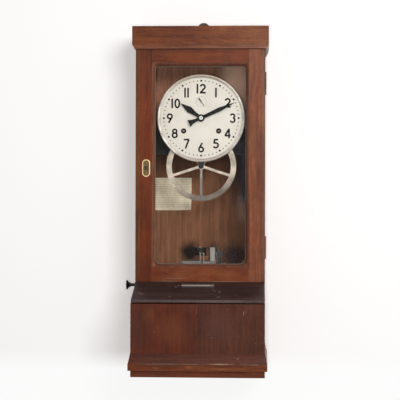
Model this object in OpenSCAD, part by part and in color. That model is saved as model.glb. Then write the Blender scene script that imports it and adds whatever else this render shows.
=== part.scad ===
// A wall time clock in a tall wooden case. The lower box holds the printing works, with a card slot
// in its sloping lid; the upper case holds the dial, the movement and a wheel with five spokes.
// Millimetres. Z is up, the front faces -Y, and the origin is under the middle of the base.

/* [Case] */
// Width of the case and of its door
case_w = 350; // [330:1:370]
// Height of the wooden case
case_h = 929; // [915:1:960]
// Thickness of the case boards
board_t = 12; // [10:0.5:14]
// Distance from the origin to the back of the case
back_y = 138; // [130:1:160]
// Distance from the origin to the front of the lower box
box_front_y = 138; // [134:1:150]
// Distance from the origin to the front of the door
door_front_y = 28; // [26:1:34]
// Height of the lower box at the door
box_h = 240; // [236:1:241]
// Slope of the lid
lid_slope = 19; // [16:0.5:26]
// Thickness of the lid
lid_t = 7; // [6:0.5:11]
// Where the two front boards meet
front_joint_x = -1; // [-20:1:20]
// Where the two back boards meet
back_joint_x = -42; // [-60:1:-30]

/* [Base] */
// Height of the base block
base_block_h = 17.5; // [14:0.5:20]
// Height of the flat face of the base moulding
base_face_h = 17; // [14:0.5:24]
// Height of the splay above that face
base_splay_h = 28; // [20:1:34]
// How far the base moulding stands proud
base_proud = 6.5; // [5:0.5:9]

/* [Cornice] */
// Height of the cornice with its lower moulding
cornice_h = 60; // [50:1:64]
// How far the cornice stands out at the sides
cornice_side = 9; // [7:0.5:12]
// How far the cornice stands out from the door
cornice_proud = 12; // [10:0.5:15]
// Thickness of the cornice boards
cornice_t = 18; // [14:1:22]
// Height of the splayed moulding under the cornice
cornice_step_h = 10; // [8:0.5:14]

/* [Door] */
// Thickness of the door
door_t = 20; // [18:0.5:22]
// Width of a side frame piece with its bead
stile_w = 52; // [46:0.5:56]
// Width of the top frame piece with its bead
door_head = 45.5; // [40:0.5:56]
// Width of the bottom frame piece with its bead
door_foot = 47; // [40:1:56]
// Width of the bead round the glass
bead_w = 8; // [6:0.5:10]
// Radius of the inner corners of the bead
bead_r = 13; // [9:1:18]
// Thickness of the glass
glass_t = 3; // [2:0.5:4]
// Length of each door hinge
hinge_l = 62; // [50:1:76]
// Radius of the hinge knuckles
knuckle_r = 2.6; // [2.3:0.1:3]
// Distance of the upper hinge's middle below the door's top
hinge_top_in = 91.5; // [70:0.5:130]
// Distance of the lower hinge's middle above the door's foot
hinge_low_in = 92; // [70:0.5:130]
// Distance of the lock above the door's foot
lock_up = 306; // [240:1:360]
// Distance of the lock from the door's edge
lock_in = 29; // [27:0.5:31]

/* [Dial] */
// Distance of the dial's middle below the top of the case
dial_drop = 244; // [234:1:254]
// Radius of the bezel
bezel_r = 120; // [118:0.5:124]
// Width of the bezel ring
bezel_w = 9; // [7:0.5:11]
// Length of the minute hand from the middle of the dial
minute_l = 100; // [90:1:104]
// Length of the hour hand from the middle of the dial
hour_l = 68.5; // [60:0.5:76]
// Length of the seconds hand from its own middle
second_l = 14; // [10:0.5:15]
// Clockwise angle of the minute hand from twelve
minute_at = 65.4; // [0:0.1:359]
// Clockwise angle of the hour hand from twelve
hour_at = 305.4; // [0:0.1:359]
// Clockwise angle of the seconds hand from the top
second_at = 144.5; // [0:0.1:359]
// Distance of a winding square from the upright middle line
wind_x = 48; // [47:0.1:49]
// Radius of a winding hole's black ring
wind_r = 7.2; // [6.5:0.1:8]

/* [Gears] */
// Gear module of the hand works
hand_m = 1; // [0.98:0.01:1.02]
// Teeth of the cannon pinion
cannon_n = 12; // [12:1:12]
// Teeth of the minute wheel
minute_n = 36; // [36:1:36]
// Teeth of the hour pinion
hour_pinion_n = 10; // [10:1:10]
// Teeth of the hour wheel
hour_n = 40; // [40:1:40]
// Teeth of the pinion that turns the programme wheel
drive_n = 24; // [24:1:24]
// Teeth of the programme wheel
programme_n = 192; // [192:1:192]
// Radial width of the programme wheel's rim
rim_w = 15; // [12:0.5:18]
// Width of a spoke
spoke_w = 7; // [5:0.5:9]
// Thickness of the programme wheel
programme_t = 3; // [2:0.5:3.5]

/* [Works] */
// Height of the black bar that carries the movement
seat_h = 68; // [50:1:80]
// Distance of that bar's middle below the dial's middle
seat_drop = 63; // [55:1:71]
// Width of the movement plates
plate_w = 160; // [150:1:166]
// Height of the movement plates
plate_h = 136; // [130:1:140]
// Thickness of the movement plates
plate_t = 3; // [2.5:0.1:4]
// Width of the card slot
slot_w = 84; // [70:1:90]
// Gap of the card slot from front to back
slot_gap = 7; // [6:0.5:9]
// Place of the card slot from left to right
slot_x = -4; // [-10:1:4]
// Height of the push knob
knob_z = 229; // [220:0.5:240]
// Radius of the push knob's rim
knob_r = 13.2; // [11:0.1:14.5]
// Travel of the push knob
knob_travel = 10; // [6:0.5:12]
// Radius of the push rod
rod_r = 4; // [3:0.1:4.5]
// Radius of the ribbon spool
spool_r = 20; // [16:0.5:21]
// Radius of the type wheels
type_r = 18; // [15:0.5:19]
// Width of the hanging plate
hanger_w = 36; // [30:1:44]
// Radius of the hole in the hanging plate
hanger_hole_r = 4.5; // [3:0.1:6]
// Radius of the two wall-screw holes through the back
wall_hole_r = 3; // [2.5:0.1:4]
// Distance between the two wall-screw holes
wall_holes = 220; // [180:1:230]

/* [Hidden] */
$fn = 64;
// thin overlap so that a cut passes clean through
e = 0.5;
// gap between a moving piece and what it passes
play = 0.3;
// radial clearance of a shaft in its hole
run = 0.05;
half_w = case_w / 2;
inner_w = half_w - board_t;
door_back = -(door_front_y - door_t);
door_z0 = box_h + 1;
case_top = case_h - cornice_h;
door_z1 = case_top - 0.5;
box_depth = box_front_y - door_front_y;
// height of the lid's top face above a place y
function lid_top(y) = box_h + (y + door_front_y) * tan(lid_slope);
// height of the lid's underside above a place y
function lid_under(y) = lid_top(y) - lid_t / cos(lid_slope);
front_in = -(box_front_y - board_t);
sight_w = case_w - 2 * stile_w;
sight_z0 = door_z0 + door_foot;
sight_z1 = door_z1 - door_head;
sight_h = sight_z1 - sight_z0;
lock_x = half_w - lock_in;
lock_z = door_z0 + lock_up;
hinge_low_z = door_z0 + hinge_low_in;
hinge_top_z = door_z1 - hinge_top_in;
dial_z = case_h - dial_drop;
seat_z = dial_z - seat_drop;
bead_out_w = sight_w / 2 + bead_w;
pin_x = half_w + 0.3;
pin_r = 1.2;
leaf_t = 0.8;
leaf_gap = 0.1;
leaf_w = 9;
segment_l = hinge_l / 5;

// planes of the dial work, counted back from the front
glass_y = -18;
dial_y = 14.5;
dial_t = 1.5;
hand_t = 1;
minute_y = 5;
hour_y = 8.2;
second_y = 11.8;
bracket_y = 17;
bracket_t = 2;
hour_wheel_y = 17.2;
hand_wheel_t = 2;
minute_wheel_y = 20.2;
programme_y = 23.5;
front_plate_y = 30;
plates_gap = 37;
back_plate_y = front_plate_y + plate_t + plates_gap;
seat_t = 8;
seat_gap = 6;
seat_y = back_plate_y + plate_t + seat_gap;
plate_low = 18;
plate_z0 = seat_z - plate_low;

// places of the arbors as [x, z]
hand_d = (cannon_n + minute_n) / 2 * hand_m;
hour_m = 2 * hand_d / (hour_pinion_n + hour_n);
wheel_d = (drive_n + programme_n) / 2 * hand_m;
hub_drop = 131;
centre_at = [0, dial_z];
hub_at = [0, dial_z - hub_drop];
// the minute wheel's arbor lies where both gear distances are met
arbor_up = (wheel_d * wheel_d - hand_d * hand_d + hub_drop * hub_drop) / (2 * hub_drop);
arbor_side = sqrt(wheel_d * wheel_d - arbor_up * arbor_up);
minute_arbor_at = [arbor_side, hub_at[1] + arbor_up];
wind_drop = 35;
left_barrel_at = [-wind_x, dial_z - wind_drop];
right_barrel_at = [wind_x, dial_z - wind_drop];
barrel_n = 88;
barrel_pinion_n = 11;
barrel_m = 2 * norm([wind_x, wind_drop]) / (barrel_n + barrel_pinion_n);
barrel_r = 30;
barrel_l = 18;
second_rise = 45;
second_at_xz = [0, dial_z + second_rise];
third_m = 0.7;
centre_wheel_n = 64;
small_n = 8;
third_n = 60;
third_wheel_m = 0.65;
third_d = (centre_wheel_n + small_n) / 2 * third_m;
fourth_d = (third_n + small_n) / 2 * third_wheel_m;
third_up = (third_d * third_d - fourth_d * fourth_d + second_rise * second_rise) / (2 * second_rise);
third_at = [sqrt(third_d * third_d - third_up * third_up), dial_z + third_up];
arbor_r = 2;
balance_at = [-42, dial_z + 22];
balance_r = 12;
programme_in = programme_n * hand_m / 2 - rim_w;

// printing works
works_y0 = -44;
works_y1 = 60;
works_step_y = door_back + 6;
works_step_z = 205;
works_half = 72;
works_x0 = slot_x - works_half;
works_x1 = slot_x + works_half;
works_t = 3;
bed_z = box_h + 47;
bed_t = 8;
bed_x0 = slot_x - 46.5;
bed_x1 = slot_x + 45.5;
bed_gap_x = slot_x + 8.5;
bed_gap = 4;
post_x = slot_x + 36.5;
post_y = 8;
post_w = 13;
post_h = 37;
post_foot = 12;
slot_y = -50;
chute_t = 1.2;
chute_z0 = 62;
type_y = slot_y + slot_gap / 2 + chute_t + type_r + 1.5;
type_z = 176;
spool_x = slot_x + 2;
spool_y = 34;
spool_z0 = bed_z + 22;
spool_z1 = bed_z + 43;
spindle_r = 2;
spindle_nut_h = 3;
spool_cheek = 1.5;
spool_drum_r = spool_r - 5;
stand_y = 18;
stand_t = 3;
feed_at = [slot_x + 55, bed_z + 28];
feed_n = 24;
feed_m = 0.75;
feed_y0 = 2;
feed_y1 = 14;
feed_w = 10;
tall_pin_x = slot_x + 12;
tall_pin_y = 9;
tall_pin_h = 20;
tall_pin_r = 1;
short_pin_x = slot_x + 3;
short_pin_y = 8;
short_pin_h = 21;
short_pin_r = 1.2;
knob_y = 8;
knob_l = 12;
bush_proud = 5.5;
bush_flange_r = 10.5;
knob_face = half_w + bush_proud + knob_travel + knob_l + 0.5;

hanger_t = 3;
hanger_z0 = case_h - 105;
hanger_screws = [12, 40];
hanger_hole_z = case_h + 18;
wall_z = box_h + 22;
cap_t = 10;
lid_proud = 2;
lid_side_in = 1;
front_gap = 4;
sill_t = 9;
slot_plate_d = 21;
slot_plate_t = 1.5;
window_w = 32;
window_h = 30;
head_h = 2;
screw_head_r = 4;
screw_l = 9;
seat_flange_t = 3;
seat_flange_l = 34;
centre_r = 2.5;
hand_nut_r = 5;
hand_nut_t = 3;
collar_r = 4;
barrel_pinion_l = 15;
pipe_r = 5;
fine_r = 1.5;
barrel_arbor_r = 4;
pillar_r = 5;
bracket_x = 34;
bracket_z = dial_z - 28;
bracket_w = 12;
bracket_boss_r = 7.5;
stud_r = 3;
stud_proud = 3.4;
hub_r = 9;
hub_back = 2.2;
hub_out = 2;
hand_boss_r = 10;
second_boss_r = 2.6;
foot_x = 73;
foot_low = 45;
foot_high = 43;
foot_r = 3;
seat_pillar_x = 60;
pillar_in = 10;
platform_w = 40;
platform_h = 34;
platform_t = 2;
cock_w = 6;
cock_h = 8;
cock_l = 23;
cock_rise = 15;
strip_w = 24;
strip_h = 209;
strip_t = 10;
strip_x1 = inner_w - 29;
strip_z1 = dial_z - 21;
card_w = 112;
card_h = 92;
card_t = 0.4;
card_x0 = 18 - inner_w;
card_drop = 30;
centre_wheel_y = front_plate_y + plate_t + 23;
third_wheel_y = front_plate_y + plate_t + 29;
lock_r = 6;
cam_y = door_back + 5;
cam_t = 2;
cam_w = 8;
cam_l = 19.5;
mortise_deep = 5;
mortise_room = 2.5;
// depth below the lock at which the turning cam meets the side board
cam_drop = sqrt(cam_l * cam_l + cam_w * cam_w / 4 - pow(lock_in - board_t, 2));
plate_scut_t = 1.5;
glass_lap = 5;
bush_wall = 3;
pin_d = 6;
type_step = 6;
type_hub_l = 28;
hammer_hub_w = 24;
hammer_w = 10;
hammer_head_w = 18;
hammer_head_h = 15;
pivot_y = -82;
pivot_z = 110;
hammer_y = slot_y - slot_gap / 2 - chute_t - 5;

module face_xz(y0, t) {
    translate([0, y0 + t, 0]) rotate([90, 0, 0]) linear_extrude(t) children();
}
module profile_yz(x0, w) {
    translate([x0, 0, 0]) rotate([90, 0, 90]) linear_extrude(w) children();
}
module box_at(x0, x1, y0, y1, z0, z1) {
    translate([x0, y0, z0]) cube([x1 - x0, y1 - y0, z1 - z0]);
}
module rod_y(at, r, y0, y1) {
    translate([at[0], y0, at[1]]) rotate([-90, 0, 0]) cylinder(r = r, h = y1 - y0);
}
module rod_x(y, z, r, x0, x1) {
    translate([x0, y, z]) rotate([0, 90, 0]) cylinder(r = r, h = x1 - x0);
}
module round_rect(w, h, r) {
    square([w - 2 * r, h], center = true);
    square([w, h - 2 * r], center = true);
    for (x = [-1, 1], z = [-1, 1]) translate([x * (w / 2 - r), z * (h / 2 - r)]) circle(r);
}
// outline of a gear; phase is the angle of one tooth's middle
function tooth_ring(n, m, phase) = [
    for (k = [0:n - 1], p = [[-0.27, -0.95], [-0.2, 0], [-0.1, 0.7], [0.1, 0.7], [0.2, 0], [0.27, -0.95]])
        let (a = phase + (k + p[0]) * 360 / n, r = m * (n / 2 + p[1])) [r * cos(a), r * sin(a)]
];
module gear(n, m, phase = 0) {
    polygon(tooth_ring(n, m, phase));
}
// phase of a wheel that meshes with a gear of np teeth and phase fp, seen from it in direction th
function mesh_phase(th, np, fp, nw) = th + 180 + 180 / nw - (fp - th) * np / nw;
function direction(a, b) = atan2(b[1] - a[1], b[0] - a[0]);

// boards of the case
module side_outline() {
    polygon([
        [back_y, base_block_h], [front_in, base_block_h], [front_in, lid_under(front_in)],
        [-door_front_y, lid_under(-door_front_y)], [-door_front_y, box_h], [door_back, box_h],
        [door_back, case_top], [back_y, case_top]
    ]);
}
module side_left() {
    color("saddlebrown") difference() {
        profile_yz(-half_w, board_t) side_outline();
        rod_x(knob_y, knob_z, rod_r + bush_wall + run, -half_w - e, -inner_w + e);
        // mortise that the lock's cam turns into
        box_at(-inner_w - mortise_deep, -inner_w + e, cam_y - mortise_room,
            cam_y + cam_t + mortise_room, lock_z - cam_drop - 1, lock_z + cam_w / 2 + 1);
    }
}
module side_right() {
    color("saddlebrown") difference() {
        profile_yz(inner_w, board_t) side_outline();
        for (z = [hinge_low_z, hinge_top_z]) hinge_void(z, 1);
    }
}
// room for one hinge: side 1 is the case's leaf, side -1 is the door's
module hinge_void(z, side) {
    z0 = z - hinge_l / 2 - play;
    translate([pin_x, door_back, z0]) cylinder(r = knuckle_r + play, h = hinge_l + 2 * play);
    deep = side * (leaf_gap + leaf_t + 0.05);
    box_at(pin_x - knuckle_r - leaf_w - 0.05, pin_x, door_back + min(0, deep) - (side > 0 ? e : 0),
        door_back + max(0, deep) + (side < 0 ? e : 0), z0, z + hinge_l / 2 + play);
}
module hanger_rebate() {
    box_at(-hanger_w / 2 - run, hanger_w / 2 + run, back_y - hanger_t, back_y + e,
        hanger_z0, case_h + e);
}
module back_boards() {
    color("sienna") difference() {
        for (x = [[-inner_w, back_joint_x - play / 2], [back_joint_x + play / 2, inner_w]])
            box_at(x[0], x[1], back_y - board_t, back_y, base_block_h, case_h - cap_t);
        hanger_rebate();
        for (s = [-1, 1])
            rod_y([s * wall_holes / 2, wall_z], wall_hole_r, back_y - board_t - e, back_y + e);
    }
}
module base_block() {
    color("saddlebrown") box_at(-half_w, half_w, -box_front_y, back_y, 0, base_block_h);
}
// height, and distance from the wall, of the base moulding's outline
module moulding_profile() {
    thin = 0.8;
    steps = 9;
    polygon(concat(
        [[0, 0], [base_proud, 0], [base_proud, base_face_h]],
        [for (k = [1:steps]) [thin + (base_proud - thin) * pow(1 - k / steps, 1.3),
            base_face_h + base_splay_h * k / steps]],
        [[0, base_face_h + base_splay_h]]
    ));
}
// one length of base moulding along +X, its ends cut back or out at 45 degrees
module moulding_run(l, cut0, cut1) {
    w = 3 * base_proud;
    difference() {
        translate([-w, 0, 0]) rotate([90, 0, 90]) linear_extrude(l + 2 * w)
            mirror([1, 0]) moulding_profile();
        if (cut0) rotate([0, 0, -45]) translate([-2 * w, -2 * w, -1]) cube([2 * w, 4 * w, 99]);
        else translate([-2 * w, -w, -1]) cube([2 * w, 2 * w, 99]);
        if (cut1) translate([l, 0, 0]) rotate([0, 0, 45])
            translate([0, -2 * w, -1]) cube([2 * w, 4 * w, 99]);
        else translate([l, -w, -1]) cube([2 * w, 2 * w, 99]);
    }
}
module base_moulding() {
    color("saddlebrown") translate([0, 0, base_block_h]) {
        translate([-half_w, -box_front_y, 0]) moulding_run(case_w, true, true);
        translate([half_w, -box_front_y, 0]) rotate([0, 0, 90])
            moulding_run(box_front_y + back_y, true, false);
        translate([-half_w, back_y, 0]) rotate([0, 0, -90])
            moulding_run(box_front_y + back_y, false, true);
    }
}
module front_boards() {
    color("brown") for (x = [[-half_w, front_joint_x - play / 2], [front_joint_x + play / 2, half_w]])
        profile_yz(x[0], x[1] - x[0]) polygon([
            [-box_front_y, base_block_h], [front_in, base_block_h],
            [front_in, lid_under(front_in) - front_gap],
            [-box_front_y, lid_under(-box_front_y) - front_gap]
        ]);
}
module card_cut(extra = 0) {
    box_at(slot_x - slot_w / 2 - extra, slot_x + slot_w / 2 + extra,
        slot_y - slot_gap / 2, slot_y + slot_gap / 2, box_h - 2 * box_depth, box_h + box_depth);
}
module lid_board() {
    y0 = -box_front_y - lid_proud;
    color("black") difference() {
        profile_yz(lid_side_in - half_w, case_w - 2 * lid_side_in) polygon([
            [y0, lid_under(y0)], [-door_front_y, lid_under(-door_front_y)],
            [-door_front_y, lid_top(-door_front_y)], [y0 + 2, lid_top(y0 + 2)],
            [y0, lid_top(y0) - 2]
        ]);
        card_cut(1);
    }
}
module slot_plate() {
    y0 = slot_y - slot_plate_d / 2;
    y1 = slot_y + slot_plate_d / 2;
    lip_y = slot_y - slot_gap / 2 - 2;
    color("silver") difference() {
        union() {
            profile_yz(slot_x - slot_w / 2 - 2, slot_w + 4) polygon([
                [y0, lid_top(y0)], [y1, lid_top(y1)], [y1, lid_top(y1) + slot_plate_t],
                [y0, lid_top(y0) + slot_plate_t]
            ]);
            rod_x(lip_y, lid_top(lip_y) + slot_plate_t + 0.8, 1.8,
                slot_x - slot_w / 2 - 2, slot_x + slot_w / 2 + 2);
        }
        card_cut();
        // the lip's underside stays above the lid
        profile_yz(slot_x - slot_w, 2 * slot_w) polygon([
            [y0 - 9, lid_top(y0 - 9) - 9], [y1, lid_top(y1) - 9], [y1, lid_top(y1)],
            [y0 - 9, lid_top(y0 - 9)]
        ]);
    }
}
module card_chute() {
    top = lid_under(slot_y - slot_gap / 2 - chute_t) - 0.1;
    x0 = slot_x - slot_w / 2 - 1;
    x1 = slot_x + slot_w / 2 + 1;
    y0 = slot_y - slot_gap / 2;
    y1 = slot_y + slot_gap / 2;
    color("gray") difference() {
        box_at(x0 - chute_t, x1 + chute_t, y0 - chute_t, y1 + chute_t, chute_z0, top);
        box_at(x0, x1, y0, y1, chute_z0 + chute_t, top + e);
        // window for the type wheels and the hammer
        box_at(slot_x - window_w / 2, slot_x + window_w / 2, y0 - chute_t - e, y1 + chute_t + e,
            type_z - window_h / 2, type_z + window_h / 2);
    }
    // legs that stand on the base
    color("gray") for (x = [x0 - chute_t, x1 - 12])
        box_at(x, x + 12 + chute_t, y0 - chute_t, y1 + chute_t, base_block_h, chute_z0);
}
module sill_rail() {
    color("saddlebrown") box_at(-inner_w, inner_w, -door_front_y, door_back + 4, box_h - sill_t, box_h);
}

// cornice
cornice_x = half_w + cornice_side;
cornice_y0 = -door_front_y - cornice_proud;
module cornice_front() {
    r = 4;
    color("chocolate") translate([0, 0, case_top + cornice_step_h])
        linear_extrude(cornice_h - cornice_step_h) difference() {
            translate([-cornice_x, cornice_y0]) square([2 * cornice_x, cornice_t]);
            for (s = [-1, 1]) difference() {
                translate([s * cornice_x - r, cornice_y0 - r]) square(2 * r);
                translate([s * (cornice_x - r), cornice_y0 + r]) circle(r);
                translate([s * (cornice_x - r) - r, cornice_y0 + r]) square(2 * r);
                translate([s * (cornice_x - 2 * r) - r, cornice_y0]) square([2 * r, 2 * r]);
            }
        }
}
module cornice_returns() {
    color("chocolate") for (x = [-cornice_x, cornice_x - cornice_t])
        box_at(x, x + cornice_t, cornice_y0 + cornice_t, back_y, case_top + cornice_step_h, case_h);
}
module cornice_cap() {
    color("chocolate") difference() {
        box_at(-cornice_x + cornice_t, cornice_x - cornice_t, cornice_y0 + cornice_t, back_y,
            case_h - cap_t, case_h);
        hanger_rebate();
    }
}
module cornice_moulding() {
    z1 = case_top + cornice_step_h;
    out = cornice_side - 1;
    front = cornice_proud - 1;
    fall = out / 2;
    foot = 2;
    w = half_w + out;
    y0 = -door_front_y - front;
    // the splay cut away from the foot of the front and of each side
    cut = [[-e, -e], [fall, -e], [fall, foot], [-e, cornice_step_h]];
    color("saddlebrown") difference() {
        box_at(-w, w, y0, back_y, case_top, z1);
        box_at(-inner_w, inner_w, door_back + 4, back_y + e, case_top - e, z1 + e);
        translate([0, y0, case_top]) profile_yz(-w - e, 2 * (w + e)) polygon(cut);
        for (s = [-1, 1]) translate([s * w, 0, case_top]) face_xz(y0 - e, back_y - y0 + 2 * e)
            polygon([for (c = cut) [-s * c[0], c[1]]]);
    }
}
module hanging_plate() {
    color("dimgray") difference() {
        face_xz(back_y - hanger_t, hanger_t) {
            translate([-hanger_w / 2, hanger_z0]) square([hanger_w, hanger_hole_z - hanger_z0]);
            translate([0, hanger_hole_z]) circle(hanger_w / 2);
        }
        rod_y([0, hanger_hole_z], hanger_hole_r, back_y - hanger_t - e, back_y + e);
    }
}
// a round-headed screw pointing down -Z with its head on z = 0
module screw(head_r, shank_l) {
    rotate_extrude() polygon([[0, head_h], [head_r * 0.6, head_h * 0.8], [head_r, head_h * 0.3],
        [head_r, 0], [head_r / 2.2, 0], [head_r / 2.2, -shank_l], [0, -shank_l]]);
}
module wood_screws() {
    color("dimgray") {
        for (z = hanger_screws) translate([0, back_y, hanger_z0 + z])
            rotate([-90, 0, 0]) screw(screw_head_r, screw_l);
        for (s = [-1, 1], z = [-1, 1])
            translate([s * (inner_w - seat_flange_t), seat_y + seat_flange_l * 0.6, seat_z + z * seat_h / 4])
                rotate([0, -s * 90, 0]) screw(screw_head_r, screw_l);
    }
}

// movement and dial
module seat_bar() {
    color("black") {
        box_at(-inner_w, inner_w, seat_y, seat_y + seat_t, seat_z - seat_h / 2, seat_z + seat_h / 2);
        for (x = [-inner_w, inner_w - seat_flange_t])
            box_at(x, x + seat_flange_t, seat_y + seat_t, seat_y + seat_flange_l,
                seat_z - seat_h / 2, seat_z + seat_h / 2);
    }
}
module plate_holes() {
    translate(centre_at) circle(centre_r + run);
    for (p = [left_barrel_at, right_barrel_at]) translate(p) circle(barrel_arbor_r + run);
    for (p = [third_at, second_at_xz]) translate(p) circle(fine_r + run);
}
module movement_plates() {
    color("goldenrod") for (y = [front_plate_y, back_plate_y]) face_xz(y, plate_t) difference() {
        translate([-plate_w / 2, plate_z0]) square([plate_w, plate_h]);
        plate_holes();
        if (y == front_plate_y) translate(minute_arbor_at) circle(arbor_r + run);
    }
}
module movement_pillars() {
    color("goldenrod") {
        for (p = [[0, plate_z0 + 8], [pillar_in - plate_w / 2, plate_z0 + plate_h - 8],
            [plate_w / 2 - pillar_in, plate_z0 + plate_h - 8]])
            rod_y(p, pillar_r, front_plate_y + plate_t, back_plate_y);
        for (s = [-1, 1])
            rod_y([s * seat_pillar_x, seat_z + 8], pillar_r, back_plate_y + plate_t, seat_y);
    }
}
module dial_plate() {
    color("ivory") face_xz(dial_y, dial_t) difference() {
        translate(centre_at) circle(bezel_r - 2);
        translate(centre_at) circle(pipe_r + 1);
        for (p = [left_barrel_at, right_barrel_at]) translate(p) circle(wind_r - 1.6);
        translate(second_at_xz) circle(fine_r + 0.7);
    }
}
module dial_bezel() {
    r0 = bezel_r - bezel_w;
    color("gainsboro") translate([0, dial_y, dial_z]) rotate([90, 0, 0]) rotate_extrude($fn = 128)
        polygon([[r0, 0], [r0, 1], [r0 + 2, 4], [r0 + 4, 5], [bezel_r - 2.5, 5], [bezel_r, 3],
            [bezel_r, -dial_t - 1], [bezel_r - 1.9, -dial_t - 1], [bezel_r - 1.9, 0]]);
}
module dial_feet() {
    color("goldenrod") {
        for (s = [-1, 1], z = [-foot_low, foot_high])
            rod_y([s * foot_x, dial_z + z], foot_r, dial_y + dial_t, front_plate_y);
        for (s = [-1, 1]) rod_y([s * bracket_x, bracket_z], 4, bracket_y + bracket_t, front_plate_y);
    }
}
module winding_rings() {
    color("black") face_xz(dial_y - 0.8, 0.8) for (p = [left_barrel_at, right_barrel_at])
        translate(p) difference() {
            circle(wind_r);
            circle(wind_r - 2.2);
        }
}
module wheel_bracket() {
    color("black") {
        face_xz(bracket_y, bracket_t) {
            translate(hub_at) circle(bracket_boss_r);
            for (s = [-1, 1]) {
                translate([s * bracket_x, bracket_z]) circle(bracket_w / 2 + 1);
                translate(hub_at) rotate(90 - s * atan2(bracket_x, bracket_z - hub_at[1]))
                    translate([0, -bracket_w / 2])
                        square([norm([bracket_x, bracket_z - hub_at[1]]), bracket_w]);
            }
        }
        rod_y(hub_at, stud_r, bracket_y + bracket_t, programme_y + programme_t + stud_proud);
        rod_y(hub_at, stud_r + 2, programme_y + programme_t + stud_proud - 1,
            programme_y + programme_t + stud_proud);
    }
}
module escapement_platform() {
    x0 = balance_at[0] - platform_w / 2;
    y0 = back_plate_y + plate_t;
    color("goldenrod") difference() {
        union() {
            box_at(x0, x0 + platform_w, y0, y0 + platform_t,
                balance_at[1] - platform_h / 2, balance_at[1] + platform_h / 2);
            box_at(x0, x0 + cock_w, y0, y0 + cock_rise + platform_t,
                balance_at[1] - cock_h / 2, balance_at[1] + cock_h / 2);
            box_at(x0, x0 + cock_l, y0 + cock_rise, y0 + cock_rise + platform_t,
                balance_at[1] - cock_h / 2, balance_at[1] + cock_h / 2);
        }
        rod_y(balance_at, 1 + run, y0 - e, y0 + cock_rise + platform_t + e);
    }
}
module side_strip() {
    color("midnightblue") box_at(strip_x1 - strip_w, strip_x1, back_y - board_t - strip_t,
        back_y - board_t, strip_z1 - strip_h, strip_z1);
}
module instruction_card() {
    z1 = hub_at[1] - card_drop;
    color("wheat") box_at(card_x0, card_x0 + card_w, back_y - board_t - card_t, back_y - board_t,
        z1 - card_h, z1);
}

// printing works
module print_bed() {
    color("silver") for (x = [[bed_x0, bed_gap_x - bed_gap / 2], [bed_gap_x + bed_gap / 2, bed_x1]])
        box_at(x[0], x[1], works_step_y, works_y1 - 5, bed_z, bed_z + bed_t);
}
module frame_plate(x0) {
    profile_yz(x0, works_t) difference() {
        union() {
            translate([works_y0, base_block_h])
                square([works_y1 - works_y0, works_step_z - base_block_h]);
            translate([works_step_y, base_block_h])
                square([works_y1 - works_step_y, bed_z - base_block_h]);
            translate([pivot_y - 8, pivot_z - 10]) square([works_y0 - pivot_y + 9, 20]);
        }
        translate([knob_y, knob_z]) circle(rod_r + run);
    }
}
module print_frame() {
    color("dimgray") {
        frame_plate(works_x0);
        frame_plate(works_x1 - works_t);
        box_at(works_x0, works_x1, works_step_y, works_y1, bed_z - works_t, bed_z);
    }
}
module print_post() {
    color("slategray") {
        x0 = post_x - post_w / 2;
        top = bed_z + bed_t;
        box_at(x0, x0 + post_w, post_y, post_y + works_t, top, top + post_h);
        box_at(x0, x0 + post_w, post_y, post_y + post_foot, top, top + works_t);
        for (z = [0.3, 0.73]) rod_y([post_x, top + z * post_h], 3, post_y - 1.5, post_y);
    }
}
module print_pins() {
    top = bed_z + bed_t;
    color("silver") {
        rod_x(type_y, type_z, pin_d / 2, works_x0 + works_t, works_x1 - works_t);
        rod_x(pivot_y, pivot_z, pin_d / 2, works_x0 + works_t, works_x1 - works_t);
        // the spool's spindle, with a collar below the spool and a nut above it
        translate([spool_x, spool_y, top])
            cylinder(r = spindle_r, h = spool_z1 + play + spindle_nut_h - top);
        translate([spool_x, spool_y, spool_z0 - play - 1]) cylinder(r = 2.5 * spindle_r, h = 1);
        translate([spool_x, spool_y, spool_z1 + play]) cylinder(r = 2.5 * spindle_r, h = spindle_nut_h);
        box_at(feed_at[0] - feed_w / 2, feed_at[0] + feed_w / 2, stand_y, stand_y + stand_t,
            bed_z, feed_at[1] + feed_w / 2);
        face_xz(feed_y0, feed_y1 - feed_y0) translate(feed_at) gear(feed_n, feed_m);
        rod_y(feed_at, feed_w / 2 - 1, feed_y1, stand_y);
        translate([tall_pin_x, tall_pin_y, top]) cylinder(r = tall_pin_r, h = tall_pin_h);
        translate([tall_pin_x, tall_pin_y, top + tall_pin_h]) sphere(r = 2.8 * tall_pin_r);
        translate([short_pin_x, short_pin_y, top]) cylinder(r = short_pin_r, h = short_pin_h);
        translate([short_pin_x, short_pin_y, top + short_pin_h]) sphere(r = 2.5 * short_pin_r);
    }
}
module push_bush() {
    color("black") translate([-half_w, knob_y, knob_z]) rotate([0, 90, 0]) difference() {
        rotate_extrude() polygon([[0, -bush_proud], [rod_r + 2, -bush_proud],
            [rod_r + bush_wall, 1.5 - bush_proud], [bush_flange_r, 0], [rod_r + bush_wall, 0],
            [rod_r + bush_wall, board_t], [0, board_t]]);
        translate([0, 0, -2 * bush_proud]) cylinder(r = rod_r + run, h = board_t + 4 * bush_proud);
    }
}

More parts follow.
